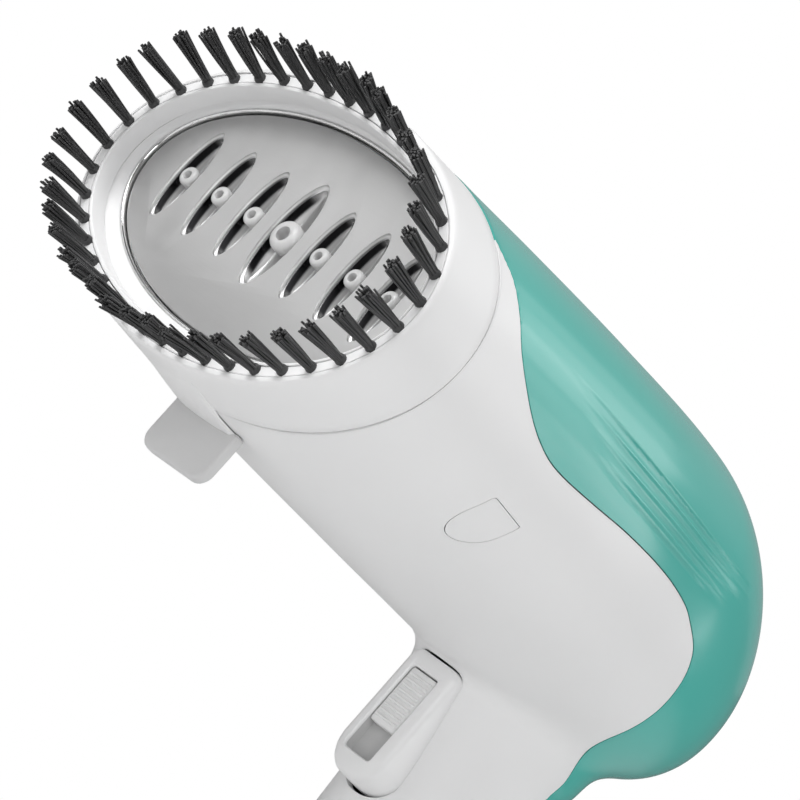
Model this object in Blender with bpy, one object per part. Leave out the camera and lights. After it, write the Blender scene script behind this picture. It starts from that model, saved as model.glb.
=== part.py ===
"""Handheld garment steamer, built from named sub-parts. Working units are millimetres about the
middle of the brush rim (X right, Y to the rear, Z up); place() turns them into metres on the frame."""
import math
import bpy
import bmesh
from mathutils import Vector

# ---- driving dimensions (mm) ----
GAP = 0.3               # clearance between neighbouring pieces
WALL = 2.4              # shell wall
HOME_Y = 91.61           # depth from the brush rim to the frame's origin
HOME_Z = 160.0          # height of the brush rim's middle over the handle's base
RIM_X, RIM_Z = 54.4, 35.1        # half axes of the brush rim
RING_D = 18.0           # depth of the brush ring
PLATE_X, PLATE_Z = 48.3, 26.2    # half axes of the steam plate
PLATE_Y = 8.1           # depth of the plate's face behind the rim
PLATE_UP = 1.5          # plate's middle over the rim's middle
SLOT_UP = 2.3           # slots' middle over the rim's middle
PLATE_T = 9.0
SLOTS = 7
SLOT_PITCH = 11.85
SLOT_L, SLOT_L_MID = 23.0, 27.0
SLOT_W, SLOT_W_MID = 5.9, 8.3
SLOT_DEEP = 3.6
TUFTS = 40
TUFT_L = 14.0
TUFT_R = 1.05
POD_X = 8.2             # half width of the trigger
LOCK_TRAVEL = 8.0
TRIG_PIVOT = (136.5, -38.5)
HANDLE_END = -152.0     # joint between the handle and its end cap
FLAP_Y, FLAP_Z, FLAP_HY, FLAP_LEN = 59.6, -10.2, 6.1, 11.0

# barrel sections: depth, half width, top, bottom
BARREL = [(0, 54.4, 34.9, -34.9), (18, 55.0, 36.2, -35.1), (50, 54.8, 39.4, -34.4), (90, 53.7, 43.0, -33.0),
          (135, 48.0, 45.8, -31.4), (192, 43.4, 38.5, -30.9)]
CAP_FROM, BARREL_END, CAP_POWER, CAP_DROP = 135.0, 199.0, 2.28, 10.3
# handle sections: height, front, back, half width
HANDLE = [(0, 122, 184, 34), (-14, 124.5, 185, 32), (-20, 126.5, 185.5, 28.5), (-26, 128.4, 186, 25.2), (-30, 129.6, 186.6, 23.6),
          (-34, 130.6, 186.8, 22.4), (-38, 131.2, 186, 21), (-45, 133.2, 185.5, 19.9), (-60, 136.3, 184.0, 18.8),
          (-90, 138.6, 182.3, 18.0), (-120, 139.6, 181.5, 17.7), (-160, 139.6, 181.5, 18)]
# white/teal joint seen from the side: depth, height
SPLIT = [(18.3, 60), (18.3, 28), (20, 26.3), (23.5, 23.8), (26.5, 19.2), (30.5, 13.5), (38, 8.4), (46, 4.9), (54.5, 3.1),
         (62, 3.1), (75, 4.6), (90, 6.6), (110, 8.2), (124, 7.9), (131, 6.3), (138.2, 3.6), (142.6, 0.2),
         (145.8, -3.6), (149.5, -9.4), (152.4, -15.2), (155, -20.4), (158.4, -24.8), (162.5, -29), (165.8, -33.6),
         (167.3, -39), (167.5, -46), (167.5, -200)]

MATS = {
    "white_plastic": ((0.80, 0.80, 0.80), 0.0, 0.35), "ring_plastic": ((0.76, 0.76, 0.76), 0.0, 0.4),
    "teal_plastic": ((0.13, 0.47, 0.42), 0.0, 0.25), "tab_plastic": ((0.70, 0.70, 0.70), 0.0, 0.4),
    "nose_plastic": ((0.72, 0.72, 0.72), 0.0, 0.35), "brushed_plate": ((0.62, 0.62, 0.62), 1.0, 0.35),
    "bright_trim": ((0.85, 0.85, 0.85), 1.0, 0.1), "bristle_nylon": ((0.03, 0.03, 0.03), 0.0, 0.5),
    "nozzle_silicone": ((0.88, 0.88, 0.88), 0.0, 0.25), "boiler_cast": ((0.55, 0.55, 0.57), 1.0, 0.5),
    "seal_rubber": ((0.10, 0.10, 0.11), 0.0, 0.8), "heater_steel": ((0.45, 0.44, 0.43), 1.0, 0.4),
    "screw_steel": ((0.60, 0.60, 0.62), 1.0, 0.3), "tank_clear": ((0.75, 0.82, 0.86), 0.0, 0.15),
    "tube_silicone": ((0.85, 0.84, 0.80), 0.0, 0.5), "pump_body": ((0.12, 0.12, 0.13), 0.0, 0.5),
    "board_green": ((0.03, 0.20, 0.10), 0.0, 0.5), "switch_black": ((0.04, 0.04, 0.04), 0.0, 0.4),
    "fuse_ceramic": ((0.80, 0.76, 0.68), 0.0, 0.5), "spring_steel": ((0.65, 0.65, 0.66), 1.0, 0.3),
    "slider_plastic": ((0.78, 0.78, 0.78), 0.0, 0.45), "flap_plastic": ((0.79, 0.79, 0.79), 0.0, 0.36),
    "frame_plastic": ((0.50, 0.51, 0.52), 0.0, 0.6), "gland_rubber": ((0.07, 0.07, 0.07), 0.0, 0.75),
    "trigger_plastic": ((0.80, 0.80, 0.80), 0.0, 0.38), "cap_plastic": ((0.80, 0.80, 0.80), 0.0, 0.4),
}


def clear_scene():
    for ob in list(bpy.data.objects):
        bpy.data.objects.remove(ob, do_unlink=True)


def material(name):
    mat = bpy.data.materials.get(name)
    if mat is None:
        col, metal, rough = MATS[name]
        mat = bpy.data.materials.new(name)
        mat.use_nodes = True
        node = mat.node_tree.nodes["Principled BSDF"]
        node.inputs["Base Color"].default_value = (*col, 1.0)
        node.inputs["Metallic"].default_value = metal
        node.inputs["Roughness"].default_value = rough
    return mat


def obj(verts, faces, name="tmp"):
    """Mesh object with faces turned outward."""
    me = bpy.data.meshes.new(name)
    me.from_pydata([tuple(v) for v in verts], [], faces)
    bm = bmesh.new()
    bm.from_mesh(me)
    bmesh.ops.recalc_face_normals(bm, faces=bm.faces)
    bmesh.ops.triangulate(bm, faces=[f for f in bm.faces if len(f.verts) > 4])
    bm.to_mesh(me)
    bm.free()
    ob = bpy.data.objects.new(name, me)
    bpy.context.scene.collection.objects.link(ob)
    return ob


def boolean(a, b, op="DIFFERENCE", keep=False):
    """Exact Boolean of two objects; the result replaces a."""
    mod = a.modifiers.new("cut", "BOOLEAN")
    mod.operation = op
    mod.solver = "EXACT"
    mod.object = b
    bpy.context.view_layer.update()
    me = bpy.data.meshes.new_from_object(a.evaluated_get(bpy.context.evaluated_depsgraph_get()))
    a.modifiers.clear()
    a.data = me
    if not keep:
        bpy.data.objects.remove(b, do_unlink=True)
    return a


def loft(rings, closed=False):
    """Skin over equal-length rings; ends are capped, or the last ring joins the first."""
    n = len(rings[0])
    verts = [p for ring in rings for p in ring]
    faces = []
    m = len(rings)
    for i in range(m if closed else m - 1):
        a, b = i * n, ((i + 1) % m) * n
        for j in range(n):
            k = (j + 1) % n
            faces.append((a + j, a + k, b + k, b + j))
    if not closed:
        faces.append(tuple(range(n)))
        faces.append(tuple((m - 1) * n + j for j in range(n)))
    return obj(verts, faces)


def table(rows, x, col):
    """Smooth monotone-ish value from a table by cubic Hermite through its rows."""
    xs = [r[0] for r in rows]
    ys = [r[col] for r in rows]
    if xs[0] > xs[-1]:
        xs, ys = xs[::-1], ys[::-1]
    x = min(max(x, xs[0]), xs[-1])
    i = max(k for k in range(len(xs) - 1) if xs[k] <= x)
    d = [(ys[k + 1] - ys[k]) / (xs[k + 1] - xs[k]) for k in range(len(xs) - 1)]

    def slope(k):
        if k == 0:
            return d[0]
        if k == len(xs) - 1:
            return d[-1]
        return 0.0 if d[k - 1] * d[k] <= 0 else 2 * d[k - 1] * d[k] / (d[k - 1] + d[k])
    h = xs[i + 1] - xs[i]
    t = (x - xs[i]) / h
    return ((2 * t**3 - 3 * t**2 + 1) * ys[i] + (t**3 - 2 * t**2 + t) * h * slope(i)
            + (3 * t**2 - 2 * t**3) * ys[i + 1] + (t**3 - t**2) * h * slope(i + 1))


def oval(rx, rz, y, n=40, zc=0.0, power=2.0):
    ring = []
    for k in range(n):
        a = 2 * math.pi * k / n
        c, s = math.cos(a), math.sin(a)
        e = 2 / power
        ring.append((math.copysign(abs(c)**e, c) * rx, y, zc + math.copysign(abs(s)**e, s) * rz))
    return ring


def barrel_section(y, inset=0.0):
    """Half width, top and bottom of the barrel at a depth."""
    hx, top, bot = (table(BARREL, y, c) for c in (1, 2, 3))
    if y > CAP_FROM:
        t = (y - CAP_FROM) / (BARREL_END - CAP_FROM)
        k = max(0.0, 1 - t**CAP_POWER)**(1 / CAP_POWER)
        mid = (top + bot) / 2 - CAP_DROP * t * t
        hx, top, bot = hx * k, mid + (top - bot) / 2 * k, mid - (top - bot) / 2 * k
    return hx - inset, top - inset, bot + inset


def barrel_ring(y, inset=0.0, n=48, top_cut=None):
    hx, top, bot = barrel_section(y, inset)
    ring = oval(hx, (top - bot) / 2, y, n, (top + bot) / 2, 2.1)
    return ring if top_cut is None else [(x, yy, min(z, top_cut)) for x, yy, z in ring]


def barrel_solid(y0, inset=0.0, n=48):
    end = BARREL_END - inset
    flat = [y0 + (CAP_FROM - y0) * k / 6 for k in range(7)]
    cap = [CAP_FROM + (end - CAP_FROM) * math.sin(math.pi / 2 * k / 8) for k in range(1, 8)]
    rings = [barrel_ring(y, inset, n) for y in flat]
    for y in cap:
        t = (y - CAP_FROM) / (end - CAP_FROM)
        ya = CAP_FROM + t * (BARREL_END - CAP_FROM)
        hx, top, bot = barrel_section(ya, inset * min(1.0, (1 - t * t)**0.5))
        rings.append(oval(hx, (top - bot) / 2, y, n, (top + bot) / 2, 2.1))
    return loft(rings)


def handle_ring(z, inset=0.0, n=28):
    front, back, hx = (table(HANDLE, z, c) for c in (1, 2, 3))
    mid, hy = (front + back) / 2, (back - front) / 2 - inset
    return [((hx - inset) * math.cos(2 * math.pi * k / n), mid + hy * math.sin(2 * math.pi * k / n), z) for k in range(n)]


def handle_solid(z1, inset=0.0, n=32):
    levels = [-6, -14, -20, -26, -30, -34, -38, -45, -60, -90, -120, z1]
    return loft([handle_ring(z, inset, n) for z in levels])


def prism_x(poly, x0, x1):
    """Side-view outline (depth, height) swept across X."""
    return loft([[(x0, y, z) for y, z in poly], [(x1, y, z) for y, z in poly]])


def box(x0, x1, y0, y1, z0, z1):
    return loft([[(x0, y0, z), (x1, y0, z), (x1, y1, z), (x0, y1, z)] for z in (z0, z1)])


def rod(p0, p1, r, n=16, r1=None):
    """Round bar between two points."""
    a, b = Vector(p0), Vector(p1)
    d = (b - a).normalized()
    u = d.orthogonal().normalized()
    v = d.cross(u)
    rings = []
    for p, rad in ((a, r), (b, r if r1 is None else r1)):
        rings.append([p + rad * (u * math.cos(2 * math.pi * k / n) + v * math.sin(2 * math.pi * k / n)) for k in range(n)])
    return loft(rings)


def turned(profile, origin, axis="Y", n=20, closed=False):
    """Profile of (radius, along) pairs turned about an axis through origin."""
    rings = []
    for r, s in profile:
        ring = []
        for k in range(n):
            c, q = r * math.cos(2 * math.pi * k / n), r * math.sin(2 * math.pi * k / n)
            off = {"X": (s, c, q), "Y": (c, s, q), "Z": (c, q, s)}[axis]
            ring.append(tuple(o + d for o, d in zip(origin, off)))
        rings.append(ring)
    return loft(rings, closed)


def pipe(path, r, bore=0.0, n=10):
    """Round tube along a polyline of points."""
    pts = [Vector(p) for p in path]
    frames = []
    u = None
    for i, p in enumerate(pts):
        d = (pts[min(i + 1, len(pts) - 1)] - pts[max(i - 1, 0)]).normalized()
        u = d.orthogonal().normalized() if u is None else (u - d * u.dot(d)).normalized()
        frames.append((p, u.copy(), d.cross(u)))

    def ring(f, rad):
        p, a, b = f
        return [p + rad * (a * math.cos(2 * math.pi * k / n) + b * math.sin(2 * math.pi * k / n)) for k in range(n)]
    if bore:
        return loft([ring(f, r) for f in frames] + [ring(f, bore) for f in frames[::-1]], closed=True)
    return loft([ring(f, r) for f in frames])


def smooth_path(pts, per=5):
    """Rounded polyline through control points."""
    out = []
    P = [Vector(p) for p in pts]
    P = [P[0]] + P + [P[-1]]
    for i in range(1, len(P) - 2):
        for s in range(per):
            t = s / per
            a, b, c, d = P[i - 1:i + 3]
            out.append(0.5 * ((2 * b) + (c - a) * t + (2 * a - 5 * b + 4 * c - d) * t * t + (3 * b - a - 3 * c + d) * t**3))
    return out + [P[-1]]


def place(ob, name, mat, origin=(0.0, 0.0, 0.0)):
    """Name the piece, give it its material and put it on the frame; origin is its joint point (mm)."""
    o = Vector(origin)
    bm = bmesh.new()
    bm.from_mesh(ob.data)
    bmesh.ops.remove_doubles(bm, verts=bm.verts, dist=0.002)
    bmesh.ops.dissolve_degenerate(bm, dist=0.002, edges=bm.edges)
    bmesh.ops.triangulate(bm, faces=bm.faces)
    for v in bm.verts:
        v.co = (v.co - o) * 0.001
    bm.to_mesh(ob.data)
    bm.free()
    ob.location = ((o.x) * 0.001, (o.y - HOME_Y) * 0.001, (o.z + HOME_Z) * 0.001)
    ob.name = name
    ob.data.name = name
    ob.data.materials.clear()
    ob.data.materials.append(material(mat))
    return ob


def ring_solid(outer, inner, y0, y1, n=40, zc_out=0.0, zc_in=0.0):
    """Straight oval ring between two depths."""
    return loft([oval(*outer, y0, n, zc_out), oval(*outer, y1, n, zc_out),
                 oval(*inner, y1, n, zc_in), oval(*inner, y0, n, zc_in)], closed=True)


def slot_x(k):
    return (k - (SLOTS - 1) / 2) * SLOT_PITCH


def tuft_spots():
    """Even spots round the tuft oval with their outward directions."""
    a, b = 52.1, 31.92
    fine = [(a * math.cos(2 * math.pi * k / 2000), b * math.sin(2 * math.pi * k / 2000)) for k in range(2001)]
    run = [0.0]
    for p, q in zip(fine, fine[1:]):
        run.append(run[-1] + math.dist(p, q))
    spots = []
    for t in range(TUFTS):
        goal = run[-1] * (t + 0.5) / TUFTS
        k = next(i for i, r in enumerate(run) if r >= goal)
        x, z = fine[k]
        nx, nz = x / a**2, z / b**2
        s = math.hypot(nx, nz)
        spots.append((x, z, nx / s, nz / s))
    return spots


def brush_ring():
    skin = loft([barrel_ring(y, 0.0, 56) for y in (0, 0.8, 9, RING_D)])
    for v in skin.data.vertices:
        if v.co.y < 0.1:
            v.co.x *= 0.992
            v.co.z *= 0.988
    hollow = loft([oval(53.1, 33.6, 4.9), oval(53.1, 33.9, 26, 40, 0.4)])
    boolean(skin, hollow)
    boolean(skin, loft([oval(50.3, 29.5, -2), oval(50.1, 29.2, 7)]))
    boolean(skin, ring_solid((53.45, 33.35), (50.8, 30.5), -1.0, 3.6))
    tab = loft([tab_outline(y) for y in (26.2, 29.2)])
    foot = box(-9.5, 9.5, 14.5, 30.4, -37.2, -35.5)
    boolean(tab, foot, "UNION")
    web = box(-9.5, 9.5, 14.5, RING_D, -36.6, -34.2)
    boolean(tab, web, "UNION")
    boolean(skin, tab, "UNION")
    return place(skin, "brush_ring", "ring_plastic")


def tab_outline(y):
    """Pull tab seen from the front: a rounded plate that hangs under the ring."""
    hw, top, low, r = 11.0, -36.4, -47.8, 3.6
    pts = [(-hw, top), (hw, top)]
    for k in range(7):
        a = math.pi / 2 * k / 6
        pts.append((hw - r + r * math.cos(a), low + r - r * math.sin(a)))
    for k in range(7):
        a = math.pi / 2 * (1 - k / 6)
        pts.append((-hw + r - r * math.cos(a), low + r - r * math.sin(a)))
    return [(x, y, z) for x, z in pts]


def join(obs):
    """Several separate closed bodies as one cutter object."""
    verts, faces = [], []
    for ob in obs:
        base = len(verts)
        verts += [v.co.copy() for v in ob.data.vertices]
        faces += [tuple(base + i for i in p.vertices) for p in ob.data.polygons]
        bpy.data.objects.remove(ob, do_unlink=True)
    return obj(verts, faces)


def bristle_tufts():
    """Strip that lies in the band's groove with every tuft standing on it."""
    strip = ring_solid((53.15, 33.05), (51.05, 30.8), 0.25, 3.3)
    tufts = []
    for i, (x, z, nx, nz) in enumerate(tuft_spots()):
        lean = 0.35 + 0.9 * abs(nz)
        rings = []
        for s, rad in ((2.0, TUFT_R - 0.15), (-TUFT_L, 2.2)):
            t = max(0.0, -s / TUFT_L)
            ring = []
            for k in range(6):
                a = 2 * math.pi * (k + 0.3 * i) / 6
                jag = 0.55 * math.sin(2.4 * k + 1.7 * i) if s == -TUFT_L else 0.0
                ring.append((x + nx * lean * t * 1.4 + rad * math.cos(a), s + jag, z + nz * lean * t * 1.4 + rad * math.sin(a)))
            rings.append(ring)
        tufts.append(loft(rings))
    boolean(strip, join(tufts), "UNION")
    return place(strip, "bristle_tufts", "bristle_nylon")


def head_housing():
    """Oval nose that carries the plate and plugs into the barrel."""
    nose = loft([oval(52.5, 33.0, 5.2), oval(52.6, 33.1, 7), oval(51.9, 32.5, 17.6, 40, 0.5), oval(51.9, 32.5, 27, 40, 0.6)])
    up = PLATE_UP
    boolean(nose, loft([oval(50.9, 30.6, 4.0, 40, 0.0), oval(PLATE_X + 1.7, PLATE_Z + 1.7, PLATE_Y - 0.7, 40, up)]))
    boolean(nose, loft([oval(PLATE_X + 1.45, PLATE_Z + 1.45, PLATE_Y - 1.2, 40, up),
                        oval(PLATE_X + 1.45, PLATE_Z + 1.45, PLATE_Y + 1.3, 40, up)]))
    boolean(nose, loft([oval(PLATE_X + GAP, PLATE_Z + GAP, PLATE_Y - 1.0, 40, up),
                        oval(PLATE_X + GAP, PLATE_Z + GAP, PLATE_Y + PLATE_T + GAP, 40, up)]))
    boolean(nose, loft([oval(45.8, 23.7, 12, 40, up), oval(45.8, 23.7, 30, 40, up)]))
    holes = [rod((x, 20, z), (x, 30, z), 1.5, 10) for x, z in screw_spots()]
    boolean(nose, join(holes))
    return place(nose, "head_housing", "nose_plastic")


def screw_spots():
    return [(sx * 40.5, PLATE_UP + sz * 16.6) for sx in (-1, 1) for sz in (-1, 1)]


def lens(x, half, wide, y, zc, n=6):
    """Pointed lens outline: two arcs that meet at the tips."""
    right = [(x + wide * math.cos(math.pi * (k / n - 0.5))**1.25, y, zc + half * math.sin(math.pi * (k / n - 0.5))) for k in range(n + 1)]
    left = [(2 * x - p[0], y, p[2]) for p in right[1:-1]]
    return right + left[::-1]


def steam_plate():
    plate = loft([oval(PLATE_X - 0.4, PLATE_Z - 0.4, PLATE_Y, 40, PLATE_UP), oval(PLATE_X, PLATE_Z, PLATE_Y + 0.4, 40, PLATE_UP),
                  oval(PLATE_X, PLATE_Z, PLATE_Y + PLATE_T, 40, PLATE_UP)])
    for k in range(SLOTS):
        mid = k == SLOTS // 2
        half, wide = (SLOT_L_MID, SLOT_W_MID) if mid else (SLOT_L, SLOT_W)
        x = slot_x(k)
        boolean(plate, loft([lens(x, half / 2 + 0.3, wide / 2 + 0.25, PLATE_Y - 1, SLOT_UP),
                             lens(x, half / 2 - 0.2, wide / 2, PLATE_Y + 1.2, SLOT_UP),
                             lens(x, half / 2 - 2.2, wide / 2 - 0.35, PLATE_Y + SLOT_DEEP, SLOT_UP)]))
        boolean(plate, rod((x, PLATE_Y + 3, SLOT_UP), (x, PLATE_Y + PLATE_T + 1, SLOT_UP), nozzle_root(mid) + 0.15, 10))
    return place(plate, "steam_plate", "brushed_plate")


def nozzle_root(mid):
    return 1.9 if mid else 1.5


def nozzle(k):
    """Domed steam nozzle with a through bore, pressed into its slot's floor."""
    mid = k == SLOTS // 2
    root, dome, bore = (1.9, 3.6, 1.8) if mid else (1.5, 2.3, 0.9)
    top, floor = (-0.4, SLOT_DEEP) if mid else (0.2, SLOT_DEEP)
    prof = [(bore, top), (dome * 0.75, top + 0.15), (dome, top + 1.3), (dome * 0.93, floor - 0.2),
            (root, floor - 0.2), (root, PLATE_T - 0.3), (bore * 0.8, PLATE_T - 0.3)]
    ob = turned(prof, (slot_x(k), PLATE_Y, SLOT_UP), "Y", 12, closed=True)
    return place(ob, "nozzle_%d" % (k + 1), "nozzle_silicone")


def plate_trim_ring():
    ob = ring_solid((PLATE_X + 1.2, PLATE_Z + 1.2), (PLATE_X + 0.35, PLATE_Z + 0.35), PLATE_Y - 0.7, PLATE_Y + 1.05, 40, PLATE_UP, PLATE_UP)
    return place(ob, "plate_trim_ring", "bright_trim")


def steam_gasket():
    y = PLATE_Y + PLATE_T + 0.15
    ob = ring_solid((45.4, 23.3), (41.8, 19.7), y, y + 1.4, 36, PLATE_UP, PLATE_UP)
    return place(ob, "steam_gasket", "seal_rubber")


def boiler():
    """Cast steam chamber, open towards the plate, with a fixing flange."""
    y = PLATE_Y + PLATE_T + 1.7
    body = loft([oval(45.4, 23.3, y, 36, PLATE_UP), oval(45.4, 23.3, 36, 36, PLATE_UP)])
    ears = loft([oval(50.3, 31.0, 27.3, 36, PLATE_UP), oval(50.3, 31.0, 29.3, 36, PLATE_UP)])
    boolean(body, ears, "UNION")
    boolean(body, loft([oval(41.8, 19.7, y - 1, 36, PLATE_UP), oval(41.4, 19.3, 32, 36, PLATE_UP)]))
    boolean(body, join([rod((x, 26, z), (x, 31, z), 1.5, 10) for x, z in screw_spots()]))
    boolean(body, rod((-36, 30, 4), (-36, 38, 4), 1.6, 12))
    return place(body, "boiler", "boiler_cast")


def boiler_screw(i):
    x, z = screw_spots()[i]
    prof = [(1.2, -6.5), (1.2, 0.25), (2.5, 0.25), (2.3, 2.1), (1.0, 2.1), (1.0, 1.1)]
    ob = turned(prof, (x, 29.3, z), "Y", 8)
    return place(ob, "boiler_screw_%d" % (i + 1), "screw_steel")


def heating_element():
    pts = [(-30, -10), (16, -10), (23, -7), (26, 0), (23, 7), (16, 10), (-30, 10)]
    path = smooth_path([(x, 39.3, z + PLATE_UP) for x, z in pts], 3)
    return place(pipe(path, 3.0, n=8), "heating_element", "heater_steel")


def thermostat():
    prof = [(6.4, 0.3), (6.4, 2.3), (5.4, 2.3), (5.4, 6.5), (4.6, 7.0)]
    return place(turned(prof, (0, 36, PLATE_UP), "Y", 20), "thermostat", "switch_black")


def thermal_fuse():
    ob = turned([(1.2, -9), (2.1, -7.6), (2.1, 7.6), (1.2, 9)], (0, 38.5, PLATE_UP - 16.2), "X", 12)
    return place(ob, "thermal_fuse", "fuse_ceramic")


def shells():
    """White front shell and teal rear shell, cut from one skin along the side joint."""
    outer = boolean(barrel_solid(RING_D + GAP), handle_solid(HANDLE_END), "UNION")
    hollow = boolean(barrel_solid(RING_D - 4, WALL, 32), handle_solid(HANDLE_END - 3, 2.2, 24), "UNION")
    boolean(outer, hollow)
    half = GAP / 2
    line = SPLIT
    norm = []
    for i, (y, z) in enumerate(line):
        ya, za = line[max(i - 1, 0)]
        yb, zb = line[min(i + 1, len(line) - 1)]
        d = math.hypot(yb - ya, zb - za)
        norm.append((-(zb - za) / d, (yb - ya) / d))
    up = [(y + half * a, z + half * b) for (y, z), (a, b) in zip(line, norm)]
    down = [(y - half * a, z - half * b) for (y, z), (a, b) in zip(line, norm)]
    up[0], up[1] = (RING_D - 9, 60), (RING_D - 9, line[1][1] + half)
    down[0], down[1] = (RING_D - 9, 60), (RING_D - 9, line[1][1] - half)
    rear_keep = prism_x(up + [(260, -200), (260, 60)], -80, 80)
    front_keep = prism_x(down[1:] + [(-20, -200), (-20, down[1][1])], -80, 80)
    twin = bpy.data.objects.new("tmp", outer.data.copy())
    bpy.context.scene.collection.objects.link(twin)
    rear = boolean(outer, rear_keep, "INTERSECT")
    front = boolean(twin, front_keep, "INTERSECT")
    boolean(front, flap_prism(0.32, 30, 70))
    boolean(front, pod_solid(0.35, 120.0, 147.0, 0.95))
    py, pz = TRIG_PIVOT
    boolean(front, rod((-10.9, py, pz), (10.9, py, pz), 1.45, 12))
    return place(front, "main_shell", "white_plastic"), place(rear, "rear_shell", "teal_plastic")


def flap_outline(grow):
    """Filler flap seen from the side: straight hinge edge on top, round below."""
    hy, r = FLAP_HY + grow, FLAP_HY + grow
    top, low = FLAP_Z + grow, FLAP_Z - FLAP_LEN - grow
    pts = [(FLAP_Y - hy, top), (FLAP_Y - hy, low + r)]
    for k in range(1, 12):
        a = math.pi * k / 12
        pts.append((FLAP_Y - r * math.cos(a), low + r - r * math.sin(a)))
    return pts + [(FLAP_Y + hy, low + r), (FLAP_Y + hy, top)]


def flap_prism(grow, x0, x1):
    return prism_x(flap_outline(grow), x0, x1)


def flap_hinge():
    """Hinge line on the outer skin along the flap's top edge."""
    hx, top, bot = barrel_section(FLAP_Y)
    zc, hz = (top + bot) / 2, (top - bot) / 2
    return hx * (1 - abs((FLAP_Z - zc) / hz)**2.1)**(1 / 2.1) + 0.15


def filler_flap():
    skin = loft([barrel_ring(y, 0.0, 72) for y in (50, 55, 60, 65, 70)])
    boolean(skin, loft([barrel_ring(y, 1.7, 72) for y in (48, 54, 60, 66, 72)]))
    boolean(skin, flap_prism(0.0, 30, 70), "INTERSECT")
    x, zc = flap_hinge(), FLAP_Z - 6.6
    plug = rod((x - 6.0, FLAP_Y, zc), (x - 2.0, FLAP_Y, zc), 3.1, 16)
    boolean(skin, plug, "UNION")
    return place(skin, "filler_flap", "flap_plastic", (x, FLAP_Y, FLAP_Z))


def pod_ring(y, grow, low_grow):
    """Trigger outline at a depth: flat top, round foot."""
    face = min(1.0, max(0.0, (y - 129.2) / 1.9))
    hx = POD_X - 2.1 * (1 - math.sqrt(max(0.0, 1 - (1 - face)**2))) + grow
    top = -32.6 + grow - 0.8 * (1 - face) - 0.17 * max(0.0, y - 134)
    low = -66.2 + 3.2 * (1 - face) - low_grow
    r = min(hx, 7.4)
    pts = []
    for k in range(5):
        a = math.pi / 2 * k / 4
        pts.append((hx - 1.6 + 1.6 * math.cos(a), top - 1.6 + 1.6 * math.sin(a)))
    for k in range(5):
        a = math.pi / 2 * (1 + k / 4)
        pts.append((-hx + 1.6 + 1.6 * math.cos(a), top - 1.6 + 1.6 * math.sin(a)))
    for k in range(9):
        a = math.pi / 2 * (2 + k / 8)
        pts.append((-hx + r + r * math.cos(a), low + r + r * math.sin(a)))
    for k in range(9):
        a = math.pi / 2 * (3 + k / 8)
        pts.append((hx - r + r * math.cos(a), low + r + r * math.sin(a)))
    return [(x, y, z) for x, z in pts]


def pod_solid(grow=0.0, y0=129.2, y1=141.0, low_grow=0.0):
    if grow:
        return loft([[(x, yy, z) for x, _, z in pod_ring(131.1, grow, low_grow)] for yy in (y0, y1)])
    ys = [129.2, 129.4, 129.9, 130.6, 131.1, 134.0, y1]
    return loft([pod_ring(y, 0.0, low_grow) for y in ys])


def steam_trigger():
    pod = pod_solid()
    boolean(pod, loft([rounded_slot(y, 4.7, -36.9, -60.9) for y in (125.0, 132.8)]))
    py, pz = TRIG_PIVOT
    boolean(pod, rod((-20, py, pz), (20, py, pz), 1.45, 14))
    finger = box(-2.0, 2.0, 139.0, 146.5, -52.5, -48.5)
    boolean(pod, finger, "UNION")
    boolean(pod, box(-6.2, 6.2, 135.4, 150.0, -64.0, -55.0))
    return place(pod, "steam_trigger", "trigger_plastic", (0, py, pz))


def rounded_slot(y, hx, top, low, r=1.0):
    pts = []
    for cx, cz, q in ((hx - r, top - r, 0), (-hx + r, top - r, 1), (-hx + r, low + r, 2), (hx - r, low + r, 3)):
        for k in range(4):
            a = math.pi / 2 * (q + k / 3)
            pts.append((cx + r * math.cos(a), y, cz + r * math.sin(a)))
    return pts


def trigger_lock():
    """Ribbed lock slider in the trigger's slot."""
    top, low = -37.2, -52.6
    ob = loft([rounded_slot(y, 4.4, top, low) for y in (130.2, 132.5)])
    for k in range(9):
        z = top - 1.6 - k * 1.5
        boolean(ob, box(-3.7, 3.7, 129.8, 131.0, z - 0.4, z + 0.4), "UNION")
    return place(ob, "trigger_lock", "slider_plastic", (0, 131.0, (top + low) / 2))


def trigger_pin():
    py, pz = TRIG_PIVOT
    return place(rod((-10.6, py, pz), (10.6, py, pz), 1.2, 12), "trigger_pin", "screw_steel")


def trigger_spring():
    turns, n = 4, 10
    y0, y1 = 136.1, 157.3
    path = [(3.4 * math.cos(2 * math.pi * k / n), y0 + (y1 - y0) * k / (turns * n), -59.5 + 3.4 * math.sin(2 * math.pi * k / n))
            for k in range(turns * n + 1)]
    return place(pipe(path, 0.45, n=5), "trigger_spring", "spring_steel")


def microswitch():
    body = box(-6.4, 6.4, 148.6, 157.7, -54.5, -45.5)
    boolean(body, box(-1.5, 1.5, 147.9, 149.5, -51.5, -49.5), "UNION")
    return place(body, "microswitch", "switch_black")


def circuit_board():
    board = box(-14.6, 14.6, 158.0, 159.6, -140, -48)
    boolean(board, join([rod((x, 155, z), (x, 162, z), 1.6, 12) for x, z in ((0, -62 - 8), (0, -134))]))
    return place(board, "circuit_board", "board_green")


def board_parts():
    caps = place(turned([(4.5, -1.7), (5.0, -1.2), (5.0, 14.0), (4.6, 14.5)], (0, 152.7, -96), "Z", 16), "board_capacitor", "pump_body")
    relay = place(box(-9, 9, 147.0, 157.7, -124, -108), "board_relay", "frame_plastic")
    return caps, relay


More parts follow.
